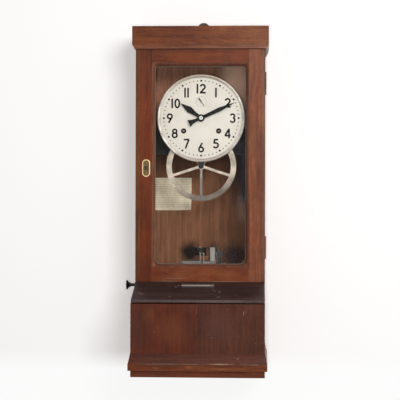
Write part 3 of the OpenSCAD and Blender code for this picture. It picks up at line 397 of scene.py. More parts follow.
# a spot on a board is written as its centre, its sizes (both in millimetres), its share and its tone
paleFleck = (0.23, 0.175, 0.155)
orangeFleck = (0.3, 0.105, 0.03)
boardLooks = {
    "side_left": {"grain": "z", "offset": (0.3, 0.1, 0.0), "joined": True},
    "side_right": {"grain": "z", "offset": (0.9, 0.4, 0.3), "joined": True},
    "back_boards": {
        "grain": "z", "offset": (0.12, 0.7, 0.5), "dark": (0.05, 0.021, 0.0105),
        "light": (0.165, 0.075, 0.04), "red": (0.117, 0.0455, 0.0215), "figure": 0.9, "rough": 0.6,
        "dustShade": 0.3, "reach": 0.05, "wear": 0.2, "scratch": 0.15, "specular": 0.05, "inside": 133,
        # inside, the back board is darker to the right where the right stile shades it, lighter below z 505
        # and far lighter above z 740, with the band about the seat bar left dark: painted shade and light
        "joined": True, "paintedShading": [
            ("x", 0, 60, (0.62, 0.62, 0.66)), ("z", 575, 505, (2.2, 2.2, 2.2)),
            ("z", 660, 740, (3.6, 3.9, 4.6))], "spots": [
            # four dark soft spots are painted shadows of the printing works and beside the side strip; the
            # pale patch high at the right is a painted reflection
            (-37, 126, 314, 40, 6, 40, 1.0, (0.012, 0.009, 0.008)),
            (92, 126, 304, 58, 6, 50, 0.85, (0.03, 0.025, 0.027)),
            (26, 126, 322, 26, 6, 26, 0.7, (0.028, 0.02, 0.016)),
            (96, 126, 560, 40, 6, 130, 0.85, (0.03, 0.02, 0.022)),
            (90, 126, 790, 56, 6, 110, 1.0, (0.85, 0.55, 0.4))]},
    "base_block": {"grain": "x", "offset": (0.2, 0.3, 0.8), "gain": (0.82, 0.66, 0.52)},
    "base_moulding": {
        "grain": "x", "offset": (0.5, 0.9, 0.2), "gain": (0.98, 0.88, 0.76), "wear": 0.05, "soft": 0.3,
        # darker above z 36, where the upper slope faces the light: painted shade
        "paintedShading": [("z", 32, 36, (0.48, 0.36, 0.36))], "wearRadius": 0.003,
        "wearColour": (0.3, 0.2, 0.14), "spots": [
            # light lines along the top arris: worn, with a painted highlight
            (58, -143, 36, 44, 8, 3, 0.7, (0.34, 0.22, 0.13)),
            (-100, -143, 35.5, 70, 8, 2.6, 0.6, (0.14, 0.11, 0.085)),
            (-20, -143, 35.5, 40, 8, 2.4, 0.5, (0.2, 0.13, 0.08)),
            (140, -143, 35.5, 40, 8, 2.4, 0.5, (0.2, 0.12, 0.07)),
            (-20, -144, 27, 18, 5, 4, 0.5, orangeFleck), (60, -144, 24, 34, 5, 3, 0.5, orangeFleck),
            (-110, -144, 25, 16, 5, 3, 0.4, orangeFleck), (105, -141, 50, 3, 6, 1.5, 0.9, paleFleck)]},
    "front_boards": {
        "grain": "z", "offset": (0.35, 0.62, 0.1), "gain": (0.55, 0.425, 0.41), "cloud": 1.4, "figure": 0.9,
        "scratch": 0.5, "wear": 0.6, "scratchColour": (0.12, 0.06, 0.045),
        # warmer to the left and paler and bluer over the right half: painted sheen from the light on the
        # right
        "paintedShading": [("x", -140, -40, (1.1, 1.0, 0.95)), ("x", -4, 2, (0.85, 1.2, 1.75))], "spots": [
            (120, -138, 168, 1.6, 4, 9, 0.85, paleFleck), (126, -138, 172, 1.2, 4, 6, 0.6, paleFleck),
            (-103, -138, 130, 1.6, 4, 7, 0.5, orangeFleck), (-3, -138, 172, 2.0, 4, 16, 0.4, orangeFleck),
            (-4, -138, 125, 1.6, 4, 34, 0.3, orangeFleck), (29, -138, 112, 3, 4, 1, 0.8, paleFleck),
            (37, -138, 104, 5, 4, 0.9, 0.7, paleFleck), (-112, -138, 118, 1.6, 4, 1.6, 0.9, orangeFleck),
            (-68, -138, 122, 66, 8, 52, 0.35, (0.15, 0.045, 0.016)),
            (-158, -138, 130, 24, 8, 80, 0.4, (0.05, 0.02, 0.015)),
            (-125, -138, 160, 22, 4, 30, 0.35, (0.14, 0.045, 0.017)),
            (60, -138, 130, 60, 8, 60, 0.4, (0.085, 0.036, 0.028)),
            (78, -138, 178, 1.5, 4, 1.5, 0.8, paleFleck), (150, -138, 90, 2, 4, 1, 0.7, paleFleck)]},
    "lid_board": {
        "grain": "x", "offset": (0.7, 0.15, 0.33), "dark": (0.016, 0.0085, 0.008),
        "light": (0.058, 0.031, 0.03), "red": (0.043, 0.019, 0.0165), "figure": 1.6, "cloud": 1.8,
        "scratch": 0.8, "scratchScale": 30.0, "wear": 1.0, "wearRadius": 0.004, "soft": 1.4,
        "wearColour": (0.13, 0.09, 0.085), "rough": 0.4, "scratchColour": (0.1, 0.07, 0.065), "spots": [
            (-150, -104, 214, 9, 5, 3, 0.9, paleFleck), (-158, -98, 216, 5, 5, 3, 0.7, paleFleck),
            (-56, -52, 232, 4, 7, 4, 0.8, paleFleck), (-63, -60, 229, 4, 7, 4, 0.7, paleFleck),
            (43, -87, 220, 4, 5, 3, 0.85, paleFleck), (55, -90, 218.5, 5, 5, 3, 0.9, paleFleck),
            (38, -74, 224, 3, 4, 3, 0.7, paleFleck), (54, -120, 208.5, 11, 4, 3, 0.85, paleFleck),
            # the two long light strips along the front edge: a worn nosing with a painted highlight on it
            (-74, -118, 209, 5, 4, 3, 0.7, paleFleck), (70, -139, 199, 140, 5, 6, 0.6, (0.13, 0.095, 0.09)),
            (-80, -139, 199, 130, 5, 6, 0.5, (0.12, 0.09, 0.085))]},
    "sill_rail": {"grain": "x", "offset": (0.1, 0.5, 0.6)},
    "cornice_front": {
        "grain": "x", "offset": (0.45, 0.25, 0.7), "wear": 0.7, "gain": (0.99, 0.83, 0.55), "figure": 1.4,
        # paler and bluer towards the right: painted sheen
        "cloud": 2.0, "paintedShading": [("x", -40, 150, (1.05, 1.5, 2.2))], "soft": 2.6, "segments": 4},
    "cornice_returns": {"grain": "y", "offset": (0.65, 0.35, 0.9), "wear": 0.7},
    "cornice_cap": {"grain": "x", "offset": (0.85, 0.55, 0.4), "dustShade": 0.8},
    # pale and bluish all along and paler still towards the right: painted highlight and sheen on the moulding
    "cornice_moulding": {"grain": "x", "offset": (0.15, 0.75, 0.1), "wear": 0.8, "gain": (1.55, 2.0, 2.9),
                         "paintedShading": [("x", -60, 150, (1.2, 1.5, 2.0))]},
    "stile_left": {
        "grain": "z", "offset": (0.55, 0.2, 0.45), "wear": 0.6, "gain": (0.76, 0.52, 0.25), "figure": 1.3,
        "cloud": 1.8, "scratchColour": (0.17, 0.075, 0.045), "joined": True,
        # paler and bluer on the strip outside the groove: painted highlight
        "paintedShading": [("x", -162.6, -163.4, (0.9, 1.5, 2.4))]},
    # paler and bluer than the left stile, painted sheen from the light on the right; paler still on the strip
    # outside the groove, painted highlight
    "stile_right": {"grain": "z", "offset": (0.25, 0.85, 0.65), "gain": (1.34, 1.56, 2.0), "wear": 0.6,
                    "cloud": 1.6, "paintedShading": [("x", 162.6, 163.4, (0.85, 1.1, 1.5))], "joined": True},
    "rail_top": {"grain": "x", "offset": (0.95, 0.45, 0.15), "gain": (0.93, 0.68, 0.34), "figure": 1.5,
                 "cloud": 2.2},
    "rail_bottom": {
        "grain": "x", "offset": (0.05, 0.65, 0.35), "wear": 0.9, "gain": (1.0, 0.9, 0.7), "figure": 1.4,
        "cloud": 2.2, "spots": [
            (70, -28, 262, 46, 5, 14, 0.35, (0.27, 0.09, 0.026)),
            (-50, -28, 262, 50, 5, 14, 0.3, (0.25, 0.08, 0.024)), (-60, -28, 250, 40, 5, 2, 0.5, paleFleck),
            # the two thin light lines along the lower edge: painted highlights on a worn arris
            (60, -28, 242, 80, 5, 1.4, 0.7, (0.3, 0.17, 0.11)),
            (-90, -28, 242, 60, 5, 1.4, 0.7, (0.3, 0.17, 0.11))]},
}
beadLook = {
    "grain": "z", "offset": (0.4, 0.4, 0.4), "wear": 0.8, "gain": (0.7, 0.8, 1.0),
    # lighter on the left inner face and along the bottom, which face the light: painted highlight
    "paintedShading": [("x", -120, -123, (1.9, 2.1, 2.3)), ("z", 291, 287, (1.15, 1.2, 1.25))],
    "wearColour": (0.2, 0.16, 0.13)}
brassTones = {"clean": (0.78, 0.55, 0.22), "dull": (0.34, 0.2, 0.07)}
metalLooks = {
    "brass": {**brassTones, "tarnish": 0.6, "smooth": 0.2},
    "lock_brass": {
        "clean": (0.95, 0.7, 0.4), "dull": (0.56, 0.37, 0.16), "smooth": 0.3, "metallic": 0.45, "wear": 0.4,
        "wearColour": (0.95, 0.78, 0.5), "zones": [
            # darker down in the recess and on the lower steps: painted shade
            ("y", -30.1, -29.7, (0.14, 0.09, 0.03)), ("y", -29.45, -29.0, (0.07, 0.04, 0.015))]},
    "screw_brass": {"clean": (0.24, 0.165, 0.06), "dull": (0.1, 0.07, 0.03), "smooth": 0.35, "metallic": 0.4},
    "plug_brass": {"clean": (0.05, 0.034, 0.016), "dull": (0.02, 0.014, 0.008), "smooth": 0.35,
                   "metallic": 0.4, "wear": 1.0, "wearColour": (0.45, 0.36, 0.22)},
    "barrel_metal": {**brassTones, "smooth": 0.24, "metallic": 0.35, "wear": 0.0, "zones": [
        # near black from y 20 forward, where the arbor lies in the winding hole: painted shade; the square in
        # front of y 13.6 is grey
        ("y", 24, 20, (0.012, 0.011, 0.01)), ("y", 13.7, 13.6, (0.24, 0.225, 0.2))]},
    "dark_brass": {"clean": (0.13, 0.075, 0.042), "dull": (0.055, 0.033, 0.022), "smooth": 0.4,
                   "tarnish": 0.8, "metallic": 0.6},
    "steel": {"clean": (0.62, 0.62, 0.61), "dull": (0.3, 0.29, 0.28), "smooth": 0.22},
    "plate_steel": {"clean": (0.17, 0.15, 0.135), "dull": (0.085, 0.073, 0.062), "smooth": 0.4,
                    "metallic": 0.2, "wear": 0.8, "wearColour": (0.42, 0.39, 0.36)},
    "pin_metal": {"clean": (0.4, 0.38, 0.35), "dull": (0.18, 0.17, 0.15), "metallic": 0.7,
                  "zones": [("x", 42, 44, (0.035, 0.033, 0.034))]},
    "post_metal": {"clean": (0.3, 0.285, 0.25), "dull": (0.15, 0.14, 0.125), "tarnish": 0.9, "smooth": 0.4,
                   "metallic": 0.15, "wear": 0.5},
    "slot_metal": {
        "clean": (0.05, 0.038, 0.036), "dull": (0.022, 0.016, 0.015), "smooth": 0.4, "metallic": 0.3,
        "wear": 1.0, "wearRadius": 0.001, "wearColour": (0.3, 0.27, 0.25), "zones": [
            ("y", -53.2, -53.6, (0.36, 0.31, 0.29)), ("y", -57.3, -57.7, (0.04, 0.03, 0.028)),
            ("x", 26, 40, (0.09, 0.075, 0.07))]},
    "dark_steel": {"clean": (0.2, 0.2, 0.21), "dull": (0.07, 0.065, 0.06), "smooth": 0.35},
    "hanger_steel": {"clean": (0.1, 0.078, 0.066), "dull": (0.045, 0.033, 0.027), "smooth": 0.45,
                     "metallic": 0.5, "tarnish": 0.8},
    "bezel_metal": {
        "clean": (0.72, 0.68, 0.62), "dull": (0.46, 0.41, 0.35), "smooth": 0.36, "tarnish": 0.8,
        "metallic": 0.3, "zones": [
            # darker at the top and at the bottom of the ring: painted shade
            ("z", 755, 800, (0.4, 0.32, 0.25)), ("z", 615, 570, (0.42, 0.365, 0.305))]},
    "nut_metal": {"clean": (0.66, 0.65, 0.63), "dull": (0.4, 0.38, 0.36), "smooth": 0.4, "metallic": 0.15,
                  "zones": [("y", 2.0, 1.7, (0.36, 0.35, 0.33))]},
}
paintLooks = {
    "black_iron": {"base": (0.012, 0.011, 0.013), "dusty": (0.03, 0.027, 0.026), "rough": 0.4},
    "hand_black": {"base": (0.009, 0.008, 0.008), "dusty": (0.018, 0.016, 0.015), "rough": 0.5,
                   "wearRadius": 0.0003, "wear": 0.15, "specular": 0.1},
    "blue_black": {"base": (0.012, 0.015, 0.028), "dusty": (0.03, 0.034, 0.05), "rough": 0.35},
    "ebonite": {"base": (0.006, 0.0045, 0.004), "dusty": (0.014, 0.01, 0.009), "rough": 0.28,
                "specular": 0.22, "wear": 0.25, "wearColour": (0.05, 0.04, 0.035)},
    "black_ink": {"base": (0.006, 0.0055, 0.0055), "dusty": (0.012, 0.011, 0.01), "rough": 0.7,
                  "wear": 0.0, "specular": 0.08},
    "grey_ink": {"base": (0.2, 0.185, 0.17), "dusty": (0.4, 0.38, 0.35), "rough": 0.5, "wear": 0.0},
    "putty": {"base": (0.14, 0.125, 0.105), "dusty": (0.26, 0.235, 0.2), "rough": 0.7, "wear": 0.0,
              "bump": 0.0002},
}
finishes = {"wood_bead": woodMaterial("wood_bead", beadLook)}
for makeMaterial, looks in ((metalMaterial, metalLooks), (paintMaterial, paintLooks)):
    for name, look in looks.items():
        finishes[name] = makeMaterial(name, look)
print("materials built")


# clear pane: glass for looks, open to the light that passes through it
def glassMaterial(look):
    material, shader, coords = startMaterial("pane_glass")
    finishShader(shader, look["colour"], 0.0, noise(coords, 7.0, 1.0), look["wave"], 0.25)
    shader.inputs["Transmission Weight"].default_value = 1.0
    shader.inputs["IOR"].default_value = look["ior"]
    tree = material.node_tree
    path = addNode(tree, "LightPath").outputs
    clear = addNode(tree, "BsdfTransparent").outputs[0]
    through = larger(path["Is Shadow Ray"], path["Is Diffuse Ray"])
    mixed = mixShaders(through, shader.outputs[0], clear)
    feed(mixed, next(n for n in tree.nodes if n.type == "OUTPUT_MATERIAL").inputs["Surface"])
    return material


# enamelled dial: warm white with faint foxing, a slow yellowing near the rim and fine orange-peel
def dialMaterial(look):
    material, shader, coords = startMaterial("dial_enamel")
    centred = mapped(coords, Location=(0, 0, -look["z"] * mm))
    far = vectorCalc("LENGTH", mapped(centred, Scale=(1, 0, 1)))
    edge = remap(far, look["rim"] * 0.75 * mm, look["rim"] * mm)
    cloud = noise(coords, 28.0, 6.0, 0.6)
    colour = blend(remap(cloud, 0.3, 0.75), look["white"], look["cream"])
    colour = blend(times(edge, 0.45), colour, look["yellowed"])
    speck = step("TexVoronoi", {"Vector": coords, "Scale": 130.0}).outputs["Distance"]
    speck = times(remap(speck, 0.05, 0.12, 1.0, 0.0), remap(cloud, 0.5, 0.62))
    colour = blend(times(speck, 0.5), colour, look["speck"])
    rough = remap(cloud, 0.3, 0.7, 0.3, 0.45)
    finishShader(shader, colour, rough, noise(coords, 600.0), 0.00003, 0.4)
    return material


# aged paper: rows of broken grey lines whose gaps come from noise, foxed towards the edges
def paperMaterial(look):
    material, shader, coords = startMaterial("card_paper")
    parts = split(coords)
    row = calc("DIVIDE", minus(parts[2], look["z0"] * mm), look["row"] * mm)
    inRow = remap(fromHalf(calc("FRACT", row)), 0.12, 0.2, 1.0, 0.0)
    number = calc("FLOOR", calc("DIVIDE", parts[2], look["row"] * mm))
    place = step("CombineXYZ", {"X": times(parts[0], 240.0), "Y": times(number, 7.3)})
    ink = times(inRow, remap(noise(place.outputs[0], 1.0), 0.42, 0.5))
    for axis, start, end in ((0, look["x0"] + 6, look["x0"] + 8), (0, look["x1"] - 6, look["x1"] - 8),
                             (2, look["z0"] + 7, look["z0"] + 9)):
        ink = times(ink, remap(parts[axis], start * mm, end * mm))
    cloud = noise(coords, 34.0, 6.0, 0.65)
    colour = blend(remap(cloud, 0.3, 0.7), look["clean"], look["foxed"])
    colour = blend(times(ink, 0.48), colour, look["ink"])
    fibre = noise(coords, 1100.0, 3.0)
    finishShader(shader, colour, remap(fibre, 0.3, 0.7, 0.75, 0.92), fibre, 0.00005)
    return material


# faces that join a grid of points; a closed way joins its last line to its first
def gridFaces(rows, cols, closedRows=False, closedCols=True):
    r = np.arange(rows if closedRows else rows - 1)
    c = np.arange(cols if closedCols else cols - 1)
    a, b = np.meshgrid(r, c, indexing="ij")
    a2, b2 = (a + 1) % rows, (b + 1) % cols
    return np.stack([a * cols + b, a2 * cols + b, a2 * cols + b2, a * cols + b2], -1).reshape(-1, 4)


# a mesh piece from points in millimetres and faces, merged, turned outwards and shaded by angle
def makePiece(name, shape, material, body, stands=(), sharp=35.0):
    points, faces = shape
    mesh = bpy.data.meshes.new(name)
    mesh.from_pydata((np.asarray(points, float) * mm).tolist(), [], [list(map(int, f)) for f in faces])
    work = bmesh.new()
    work.from_mesh(mesh)
    bmesh.ops.remove_doubles(work, verts=work.verts, dist=1e-7)
    bmesh.ops.dissolve_degenerate(work, edges=work.edges, dist=1e-8)
    bmesh.ops.recalc_face_normals(work, faces=work.faces)
    work.to_mesh(mesh)
    work.free()
    mesh.polygons.foreach_set("use_smooth", np.ones(len(mesh.polygons), bool))
    mesh.set_sharp_from_angle(angle=math.radians(sharp))
    mesh.materials.append(finishes.get(material, material))
    piece = bpy.data.objects.new(name, mesh)
    bpy.context.scene.collection.objects.link(piece)
    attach(piece, body)
    if stands:
        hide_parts(*stands)


# a profile of (radius, height) carried round an axis: centre + radius (cos, sin) + height along it
def revolve(profile, centre, axis=(0, 1, 0), count=96):
    p = np.asarray(profile, float)
    w = np.array(axis, float)
    u = np.array([0.0, 0.0, 1.0])
    v = np.cross(w, u)
    t = np.arange(count) * circle / count
    ring = np.cos(t)[:, None] * u + np.sin(t)[:, None] * v
    points = np.array(centre, float) + p[:, 0, None, None] * ring + p[:, 1, None, None] * w
    return points.reshape(-1, 3), gridFaces(len(p), count)


# a smooth line through a few points: each stretch is a cubic whose ends lean with their neighbours
def smoothLine(points, steps=8):
    p = np.asarray(points, float)
    before = np.vstack([2 * p[:1] - p[1:2], p, 2 * p[-1:] - p[-2:-1]])
    t = np.linspace(0, 1, steps, endpoint=False)[:, None]
    out = []
    for k in range(len(p) - 1):
        a, b, c, d = before[k:k + 4]
        out.append(0.5 * (2 * b + (c - a) * t + (2 * a - 5 * b + 4 * c - d) * t * t
                          + (3 * b - a - 3 * c + d) * t ** 3))
    out.append(p[-1:])
    return np.vstack(out)


# joins several (points, faces) into one
def joinParts(parts):
    points, faces, base = [], [], 0
    for pts, fcs in parts:
        points.append(np.asarray(pts, float))
        faces.extend([[int(i) + base for i in f] for f in fcs])
        base += len(pts)
    return np.vstack(points), faces


# a line in X and Z set up at one depth
def atDepth(line, y):
    return np.stack([line[:, 0], np.full(len(line), y), line[:, 1]], 1)


# a shape from rings of equal count, closed from the last to the first unless it is open
def ringShape(rings, closed=True):
    return np.vstack(rings), gridFaces(len(rings), len(rings[0]), closed)


# an even stroke: each point of a line in X and Z goes half the width to both sides, as a thin slab
def stroke(line, width, y0, y1, closed=False):
    p = np.asarray(line, float)
    ahead = np.roll(p, -1, 0) - np.roll(p, 1, 0) if closed else np.gradient(p, axis=0)
    side = np.stack([-ahead[:, 1], ahead[:, 0]], 1)
    side /= np.linalg.norm(side, axis=1)[:, None]
    a, b = p + side * width / 2, p - side * width / 2
    points = np.stack([atDepth(q, y) for q, y in ((a, y0), (b, y0), (b, y1), (a, y1))], 1).reshape(-1, 3)
    faces = gridFaces(len(p), 4, closed).tolist()
    if not closed:
        last = len(p) * 4 - 1
        faces += [[0, 1, 2, 3], [last, last - 1, last - 2, last - 3]]
    return points, faces


# points on part of a circle or oval, angles in degrees from +X
def arc(cx, cz, rx, start, end, count=20, rz=None):
    t = np.radians(np.linspace(start, end, count))
    return np.stack([cx + rx * np.cos(t), cz + (rz or rx) * np.sin(t)], 1)


# a rounded oblong in X and Z: a quarter circle of its own radius, less an inset, at each corner
def roundedLine(midZ, halfX, halfZ, radii, inset, count):
    return np.vstack([arc(sx * (halfX - r), midZ + sz * (halfZ - r), r - inset, 90 * k, 90 * k + 90, count)
                      for k, ((sx, sz), r) in enumerate(zip(corners, radii))])


edgeLook = {"weld": 0.00002, "flat": 0.4, "angle": 30.0}


# softened edges on a CAD node: its loose triangles are welded, joined into flat faces where a hole leaves
# long thin ones, and every edge is rounded a little
def softenEdges(name, width, segments=2, joined=False):
    modifiers = cadNodes[name].modifiers
    modifiers.new("weld", "WELD").merge_threshold = edgeLook["weld"]
    if joined:
        flat = modifiers.new("flat_faces", "DECIMATE")
        flat.decimate_type = "DISSOLVE"
        flat.angle_limit = math.radians(edgeLook["flat"])
    bevel = modifiers.new("soft_edges", "BEVEL")
    bevel.width = width * mm
    bevel.segments = segments
    bevel.limit_method = "ANGLE"
    bevel.angle_limit = math.radians(edgeLook["angle"])
    bevel.harden_normals = False


# gives CAD nodes their material
def dress(names, material):
    for name in names.split():
        mesh = cadNodes[name].data
        mesh.materials.clear()
        mesh.materials.append(finishes.get(material, material))


for name, look in boardLooks.items():
    dress(name, woodMaterial("wood_" + name, look))
    softenEdges(name, look.get("soft", 0.7), look.get("segments", 2), "joined" in look)
print("boards dressed")


pane = {"colour": (0.985, 0.99, 0.985), "ior": 1.12, "wave": 0.0004}
dress("glass", glassMaterial(pane))
nodeFinishes = {
    "black_iron": "seat_bar wheel_bracket push_rod",
    "dark_steel": "wood_screws print_frame card_chute hammer", "hanger_steel": "hanging_plate",
    "plate_steel": "print_bed", "pin_metal": "print_pins",
    "post_metal": "print_post", "slot_metal": "slot_plate", "steel": "centre_arbor seconds_arbor type_wheels",
    "dark_brass": "case_hinges door_hinges", "barrel_metal": "barrel_left barrel_right",
    "brass": "movement_plates movement_pillars dial_feet escapement_platform hour_wheel minute_wheel "
             "third_wheel balance_wheel", "hand_black": "minute_hand hour_hand second_hand",
    "blue_black": "side_strip", "ebonite": "ribbon_spool push_bush", "screw_brass": "escutcheon_screws",
    "plug_brass": "lock_cylinder"}
for finish, names in nodeFinishes.items():
    dress(names, finish)
softWidths = {
    "seat_bar": 0.6, "slot_plate": 0.4, "print_bed": 0.5, "print_post": 0.4, "minute_hand": 0.2,
    "hour_hand": 0.2, "second_hand": 0.1, "wheel_bracket": 0.4, "hanging_plate": 0.5, "side_strip": 0.8,
    "case_hinges": 0.2, "door_hinges": 0.2, "movement_plates": 0.3, "print_frame": 0.4, "push_bush": 0.3,
    "programme_wheel": 0.25}
for name, width in softWidths.items():
    softenEdges(name, width)
print("metal dressed")


dial = {"z": 685.0, "face": 14.5, "rim": 111.0, "print": 0.06, "white": (0.82, 0.775, 0.7),
        "cream": (0.73, 0.675, 0.595), "yellowed": (0.66, 0.62, 0.54), "speck": (0.45, 0.36, 0.27)}
dress("dial_plate", dialMaterial(dial))

# each stroke of a number lies a little in front of the last, so that no two faces share a place
numerals = {"height": 26.5, "stroke": 4.7, "gap": 0.135, "layer": 0.015, "layers": 4, "ring": {
    **dict.fromkeys((12, *range(1, 12)), 80.5), 2: 83.5, 3: 86, 4: 83.5, 8: 83.5, 9: 86}}
half = numerals["stroke"] / numerals["height"] / 2
sixStem = np.array([[0.431, 0.985], [0.111, 0.425]])
sixBowl = arc(0.31, 0.31, 0.23, 150, 510, 40)[:-1]
# each digit: its width, its open lines and its closed ones, in heights of a number
digitLines = {
    "0": (0.6, [], [arc(0.3, 0.5, 0.217, 0, 360, 41, 0.417)[:-1]]),
    "1": (2 * half, [[[half, 0.0], [half, 1.0]]], []),
    "2": (0.66, [np.vstack([arc(0.33, 0.69, 0.227, 172, -38, 24), [[0.11, half + 0.02]]]),
                 [[0.03, half], [0.645, half]]], []),
    "3": (0.58, [arc(0.28, 0.715, 0.202, 165, -75, 22), arc(0.28, 0.31, 0.227, 78, -165, 24)], []),
    "4": (0.64, [[[0.47, 0.0], [0.47, 1.0]], [[0.46, 0.95], [0.07, 0.28]], [[0.03, 0.27], [0.63, 0.27]]], []),
    "5": (0.58, [[[0.16, 0.917], [0.53, 0.917]],
                 np.vstack([[[0.17, 0.96], [0.115, 0.55]], arc(0.28, 0.33, 0.247, 118, -155, 24)])], []),
    "6": (0.62, [sixStem], [sixBowl]),
    "7": (0.6, [[[0.02, 0.917], [0.6, 0.917]], [[0.545, 0.9], [0.2, 0.0]]], []),
    "8": (0.6, [], [arc(0.3, 0.722, 0.195, 0, 360, 33)[:-1], arc(0.3, 0.318, 0.235, 0, 360, 37)[:-1]]),
    "9": (0.62, [[0.62, 1.0] - sixStem], [[0.62, 1.0] - sixBowl]),
}


# the way out from the dial's middle at a share of a turn, clockwise from the top
def wayOut(share):
    return np.array([math.sin(share * circle), math.cos(share * circle)])


# the hour numbers: the digits' strokes set side by side, upright, on a ring about the dial's middle
def numeralParts():
    parts = []
    size = numerals["height"]
    for hour, ring in numerals["ring"].items():
        digits = [digitLines[d] for d in str(hour)]
        wide = sum(d[0] for d in digits) + numerals["gap"] * (len(digits) - 1)
        at = wayOut(hour / 12) * ring + [0, dial["z"]] - [wide * size / 2, size / 2]
        for width, opened, closed in digits:
            for line in opened + closed:
                front = dial["face"] - dial["print"] - numerals["layer"] * (len(parts) % numerals["layers"])
                isClosed = any(line is other for other in closed)
                parts.append(stroke(np.asarray(line, float) * size + at, numerals["stroke"], front,
                                    dial["face"], isClosed))
            at = at + [(width + numerals["gap"]) * size, 0]
    return parts


marks = {"ring": 102.3, "dot": 2.85, "tickLong": 3.7, "tickWide": 2.1}


# minute marks: a round dot at each fifth minute and a short radial tick at the others
def markParts():
    parts = []
    y0, y1 = dial["face"] - dial["print"], dial["face"]
    long = marks["tickLong"] / 2
    for minute in range(60):
        out = wayOut(minute / 60)
        at = out * marks["ring"] + [0, dial["z"]]
        if minute % 5 == 0:
            profile = [[0, 0], [marks["dot"], 0], [marks["dot"], y1 - y0], [0, y1 - y0]]
            parts.append(revolve(profile, (at[0], y0, at[1]), count=20))
        else:
            parts.append(stroke([at - out * long, at + out * long], marks["tickWide"], y0, y1))
    return parts


seconds = {"z": 730.0, "ring": 14.6, "line": 0.3, "long": (2.2, 0.45), "short": (1.1, 0.22)}


# the seconds ring: a thin circle with short ticks inside it, each fifth one longer and wider
def secondsParts():
    y0, y1 = dial["face"] - dial["print"] / 2, dial["face"]
    ring, middle = seconds["ring"], np.array([0, seconds["z"]])
    parts = [stroke(arc(0, seconds["z"], ring, 0, 360, 73)[:-1], seconds["line"], y0, y1, True)]
    for k in range(60):
        long, wide = seconds["long" if k % 5 == 0 else "short"]
        out = wayOut(k / 60)
        parts.append(stroke([out * (ring - long) + middle, out * ring + middle], wide, y0, y1))
    return parts


makePiece("dial_numerals", joinParts(numeralParts()), "black_ink", "case")
makePiece("dial_marks", joinParts(markParts()), "black_ink", "case")
makePiece("seconds_ring", joinParts(secondsParts()), "grey_ink", "case")

# the bezel: a turned ring, its profile carried round the dial's axis
bezel = {"profile": [[111.0, 14.4], [111.0, 13.2], [111.6, 12.2], [113.0, 11.6], [114.2, 10.6], [115.6, 9.8],
                     [117.2, 9.5], [118.8, 9.9], [119.7, 11.0], [120.0, 12.6], [120.0, 16.8], [119.6, 17.0],
                     [118.1, 17.0], [118.1, 14.4], [111.0, 14.4]]}
dialMiddle = (0, 0, dial["z"])
makePiece("bezel_ring", revolve(bezel["profile"], dialMiddle, count=192), "bezel_metal", "case",
          ["dial_bezel"], 40.0)

# the hand nut: a low dome on a short round body
nut = {"dome": [[0, 1.6], [2.6, 1.75], [4.2, 2.4], [5.1, 3.6]], "body": [[5.1, 5.0], [0, 5.0]]}
nutProfile = np.vstack([smoothLine(nut["dome"], 5), nut["body"]])
makePiece("hand_nut", revolve(nutProfile, dialMiddle, count=48), "nut_metal", "centre")

collet = {"x": 48.0, "z": 650.0, "profile": [
    [3.6, 16.4], [3.6, 15.6], [3.9, 15.0], [4.6, 14.3], [5.5, 13.85], [6.3, 13.7], [7.0, 13.85], [7.2, 14.2],
    [7.2, 14.5], [5.5, 14.5], [5.5, 16.5], [3.8, 16.5], [3.6, 16.4]]}


# the two winding holes' collets: one dished ring, carried round each winding axis
def colletParts():
    return [revolve(collet["profile"], (side * collet["x"], 0, collet["z"]), count=40) for side in (-1, 1)]


makePiece("winding_collets", joinParts(colletParts()), "black_ink", "case", ["winding_rings"],
          40.0)
print("dial built")


wheel = {"z": 554.0, "dots": 96, "dotRings": (91.0, 85.5), "hole": (0.06, 0.045, 0.035),
         "shade": (0.1, 0.078, 0.06), "spoke": (0.12, 0.105, 0.095)}


# aged plate with two rings of small punched dots: the angle round the hub is cut into equal cells
def wheelMaterial():
    material, shader, coords = startMaterial("wheel_plate")
    finish = placeGroup(metalFinish, {
        "Vector": coords, "Clean": (0.66, 0.57, 0.46), "Dull": (0.36, 0.3, 0.235),
        "Tarnish": 0.85, "Smooth": 0.42})
    parts = split(coords)
    z = minus(parts[2], wheel["z"] * mm)
    radius = legs(parts[0], z)
    angle = times(calc("ARCTAN2", z, parts[0]), wheel["dots"] / circle)
    cell = times(minus(calc("FRACT", angle), 0.5),
                 circle * wheel["dotRings"][0] * mm / wheel["dots"])
    hole = 0.0
    for ring in wheel["dotRings"]:
        far = legs(minus(radius, ring * mm), cell)
        hole = larger(hole, remap(far, 0.0007, 0.0011, 1.0, 0.0))
    colour = blend(times(hole, 0.75), finish["Color"], wheel["hole"])
    # the lower part of the plate darker and the upright spoke below the hub a darker grey: painted shade and
    # reflection
    low = remap(minus(z, times(parts[0], 0.25)), -0.03, -0.082)
    colour = blend(times(low, 0.9), colour, wheel["shade"])
    spoke = times(remap(calc("ABSOLUTE", parts[0]), 0.006, 0.008, 1.0, 0.0),
                  remap(z, -0.008, -0.012))
    colour = blend(times(spoke, 0.75), colour, wheel["spoke"])
    height = minus(finish["Height"], times(hole, 6.0))
    finishShader(shader, colour, finish["Roughness"], height, 0.0001, 0.8)
    shader.inputs["Metallic"].default_value = 0.25
    return material


dress("programme_wheel", wheelMaterial())
print("wheel dressed")


card = {"x0": -145.0, "x1": -33.0, "z0": 432.0, "z1": 524.0, "back": 126.0, "thick": 0.35, "row": 6.4,
        "grid": (33, 29), "lift": 3.2, "ripple": 0.18, "clean": (0.98, 0.87, 0.66),
        "foxed": (0.66, 0.56, 0.41), "ink": (0.16, 0.14, 0.11)}


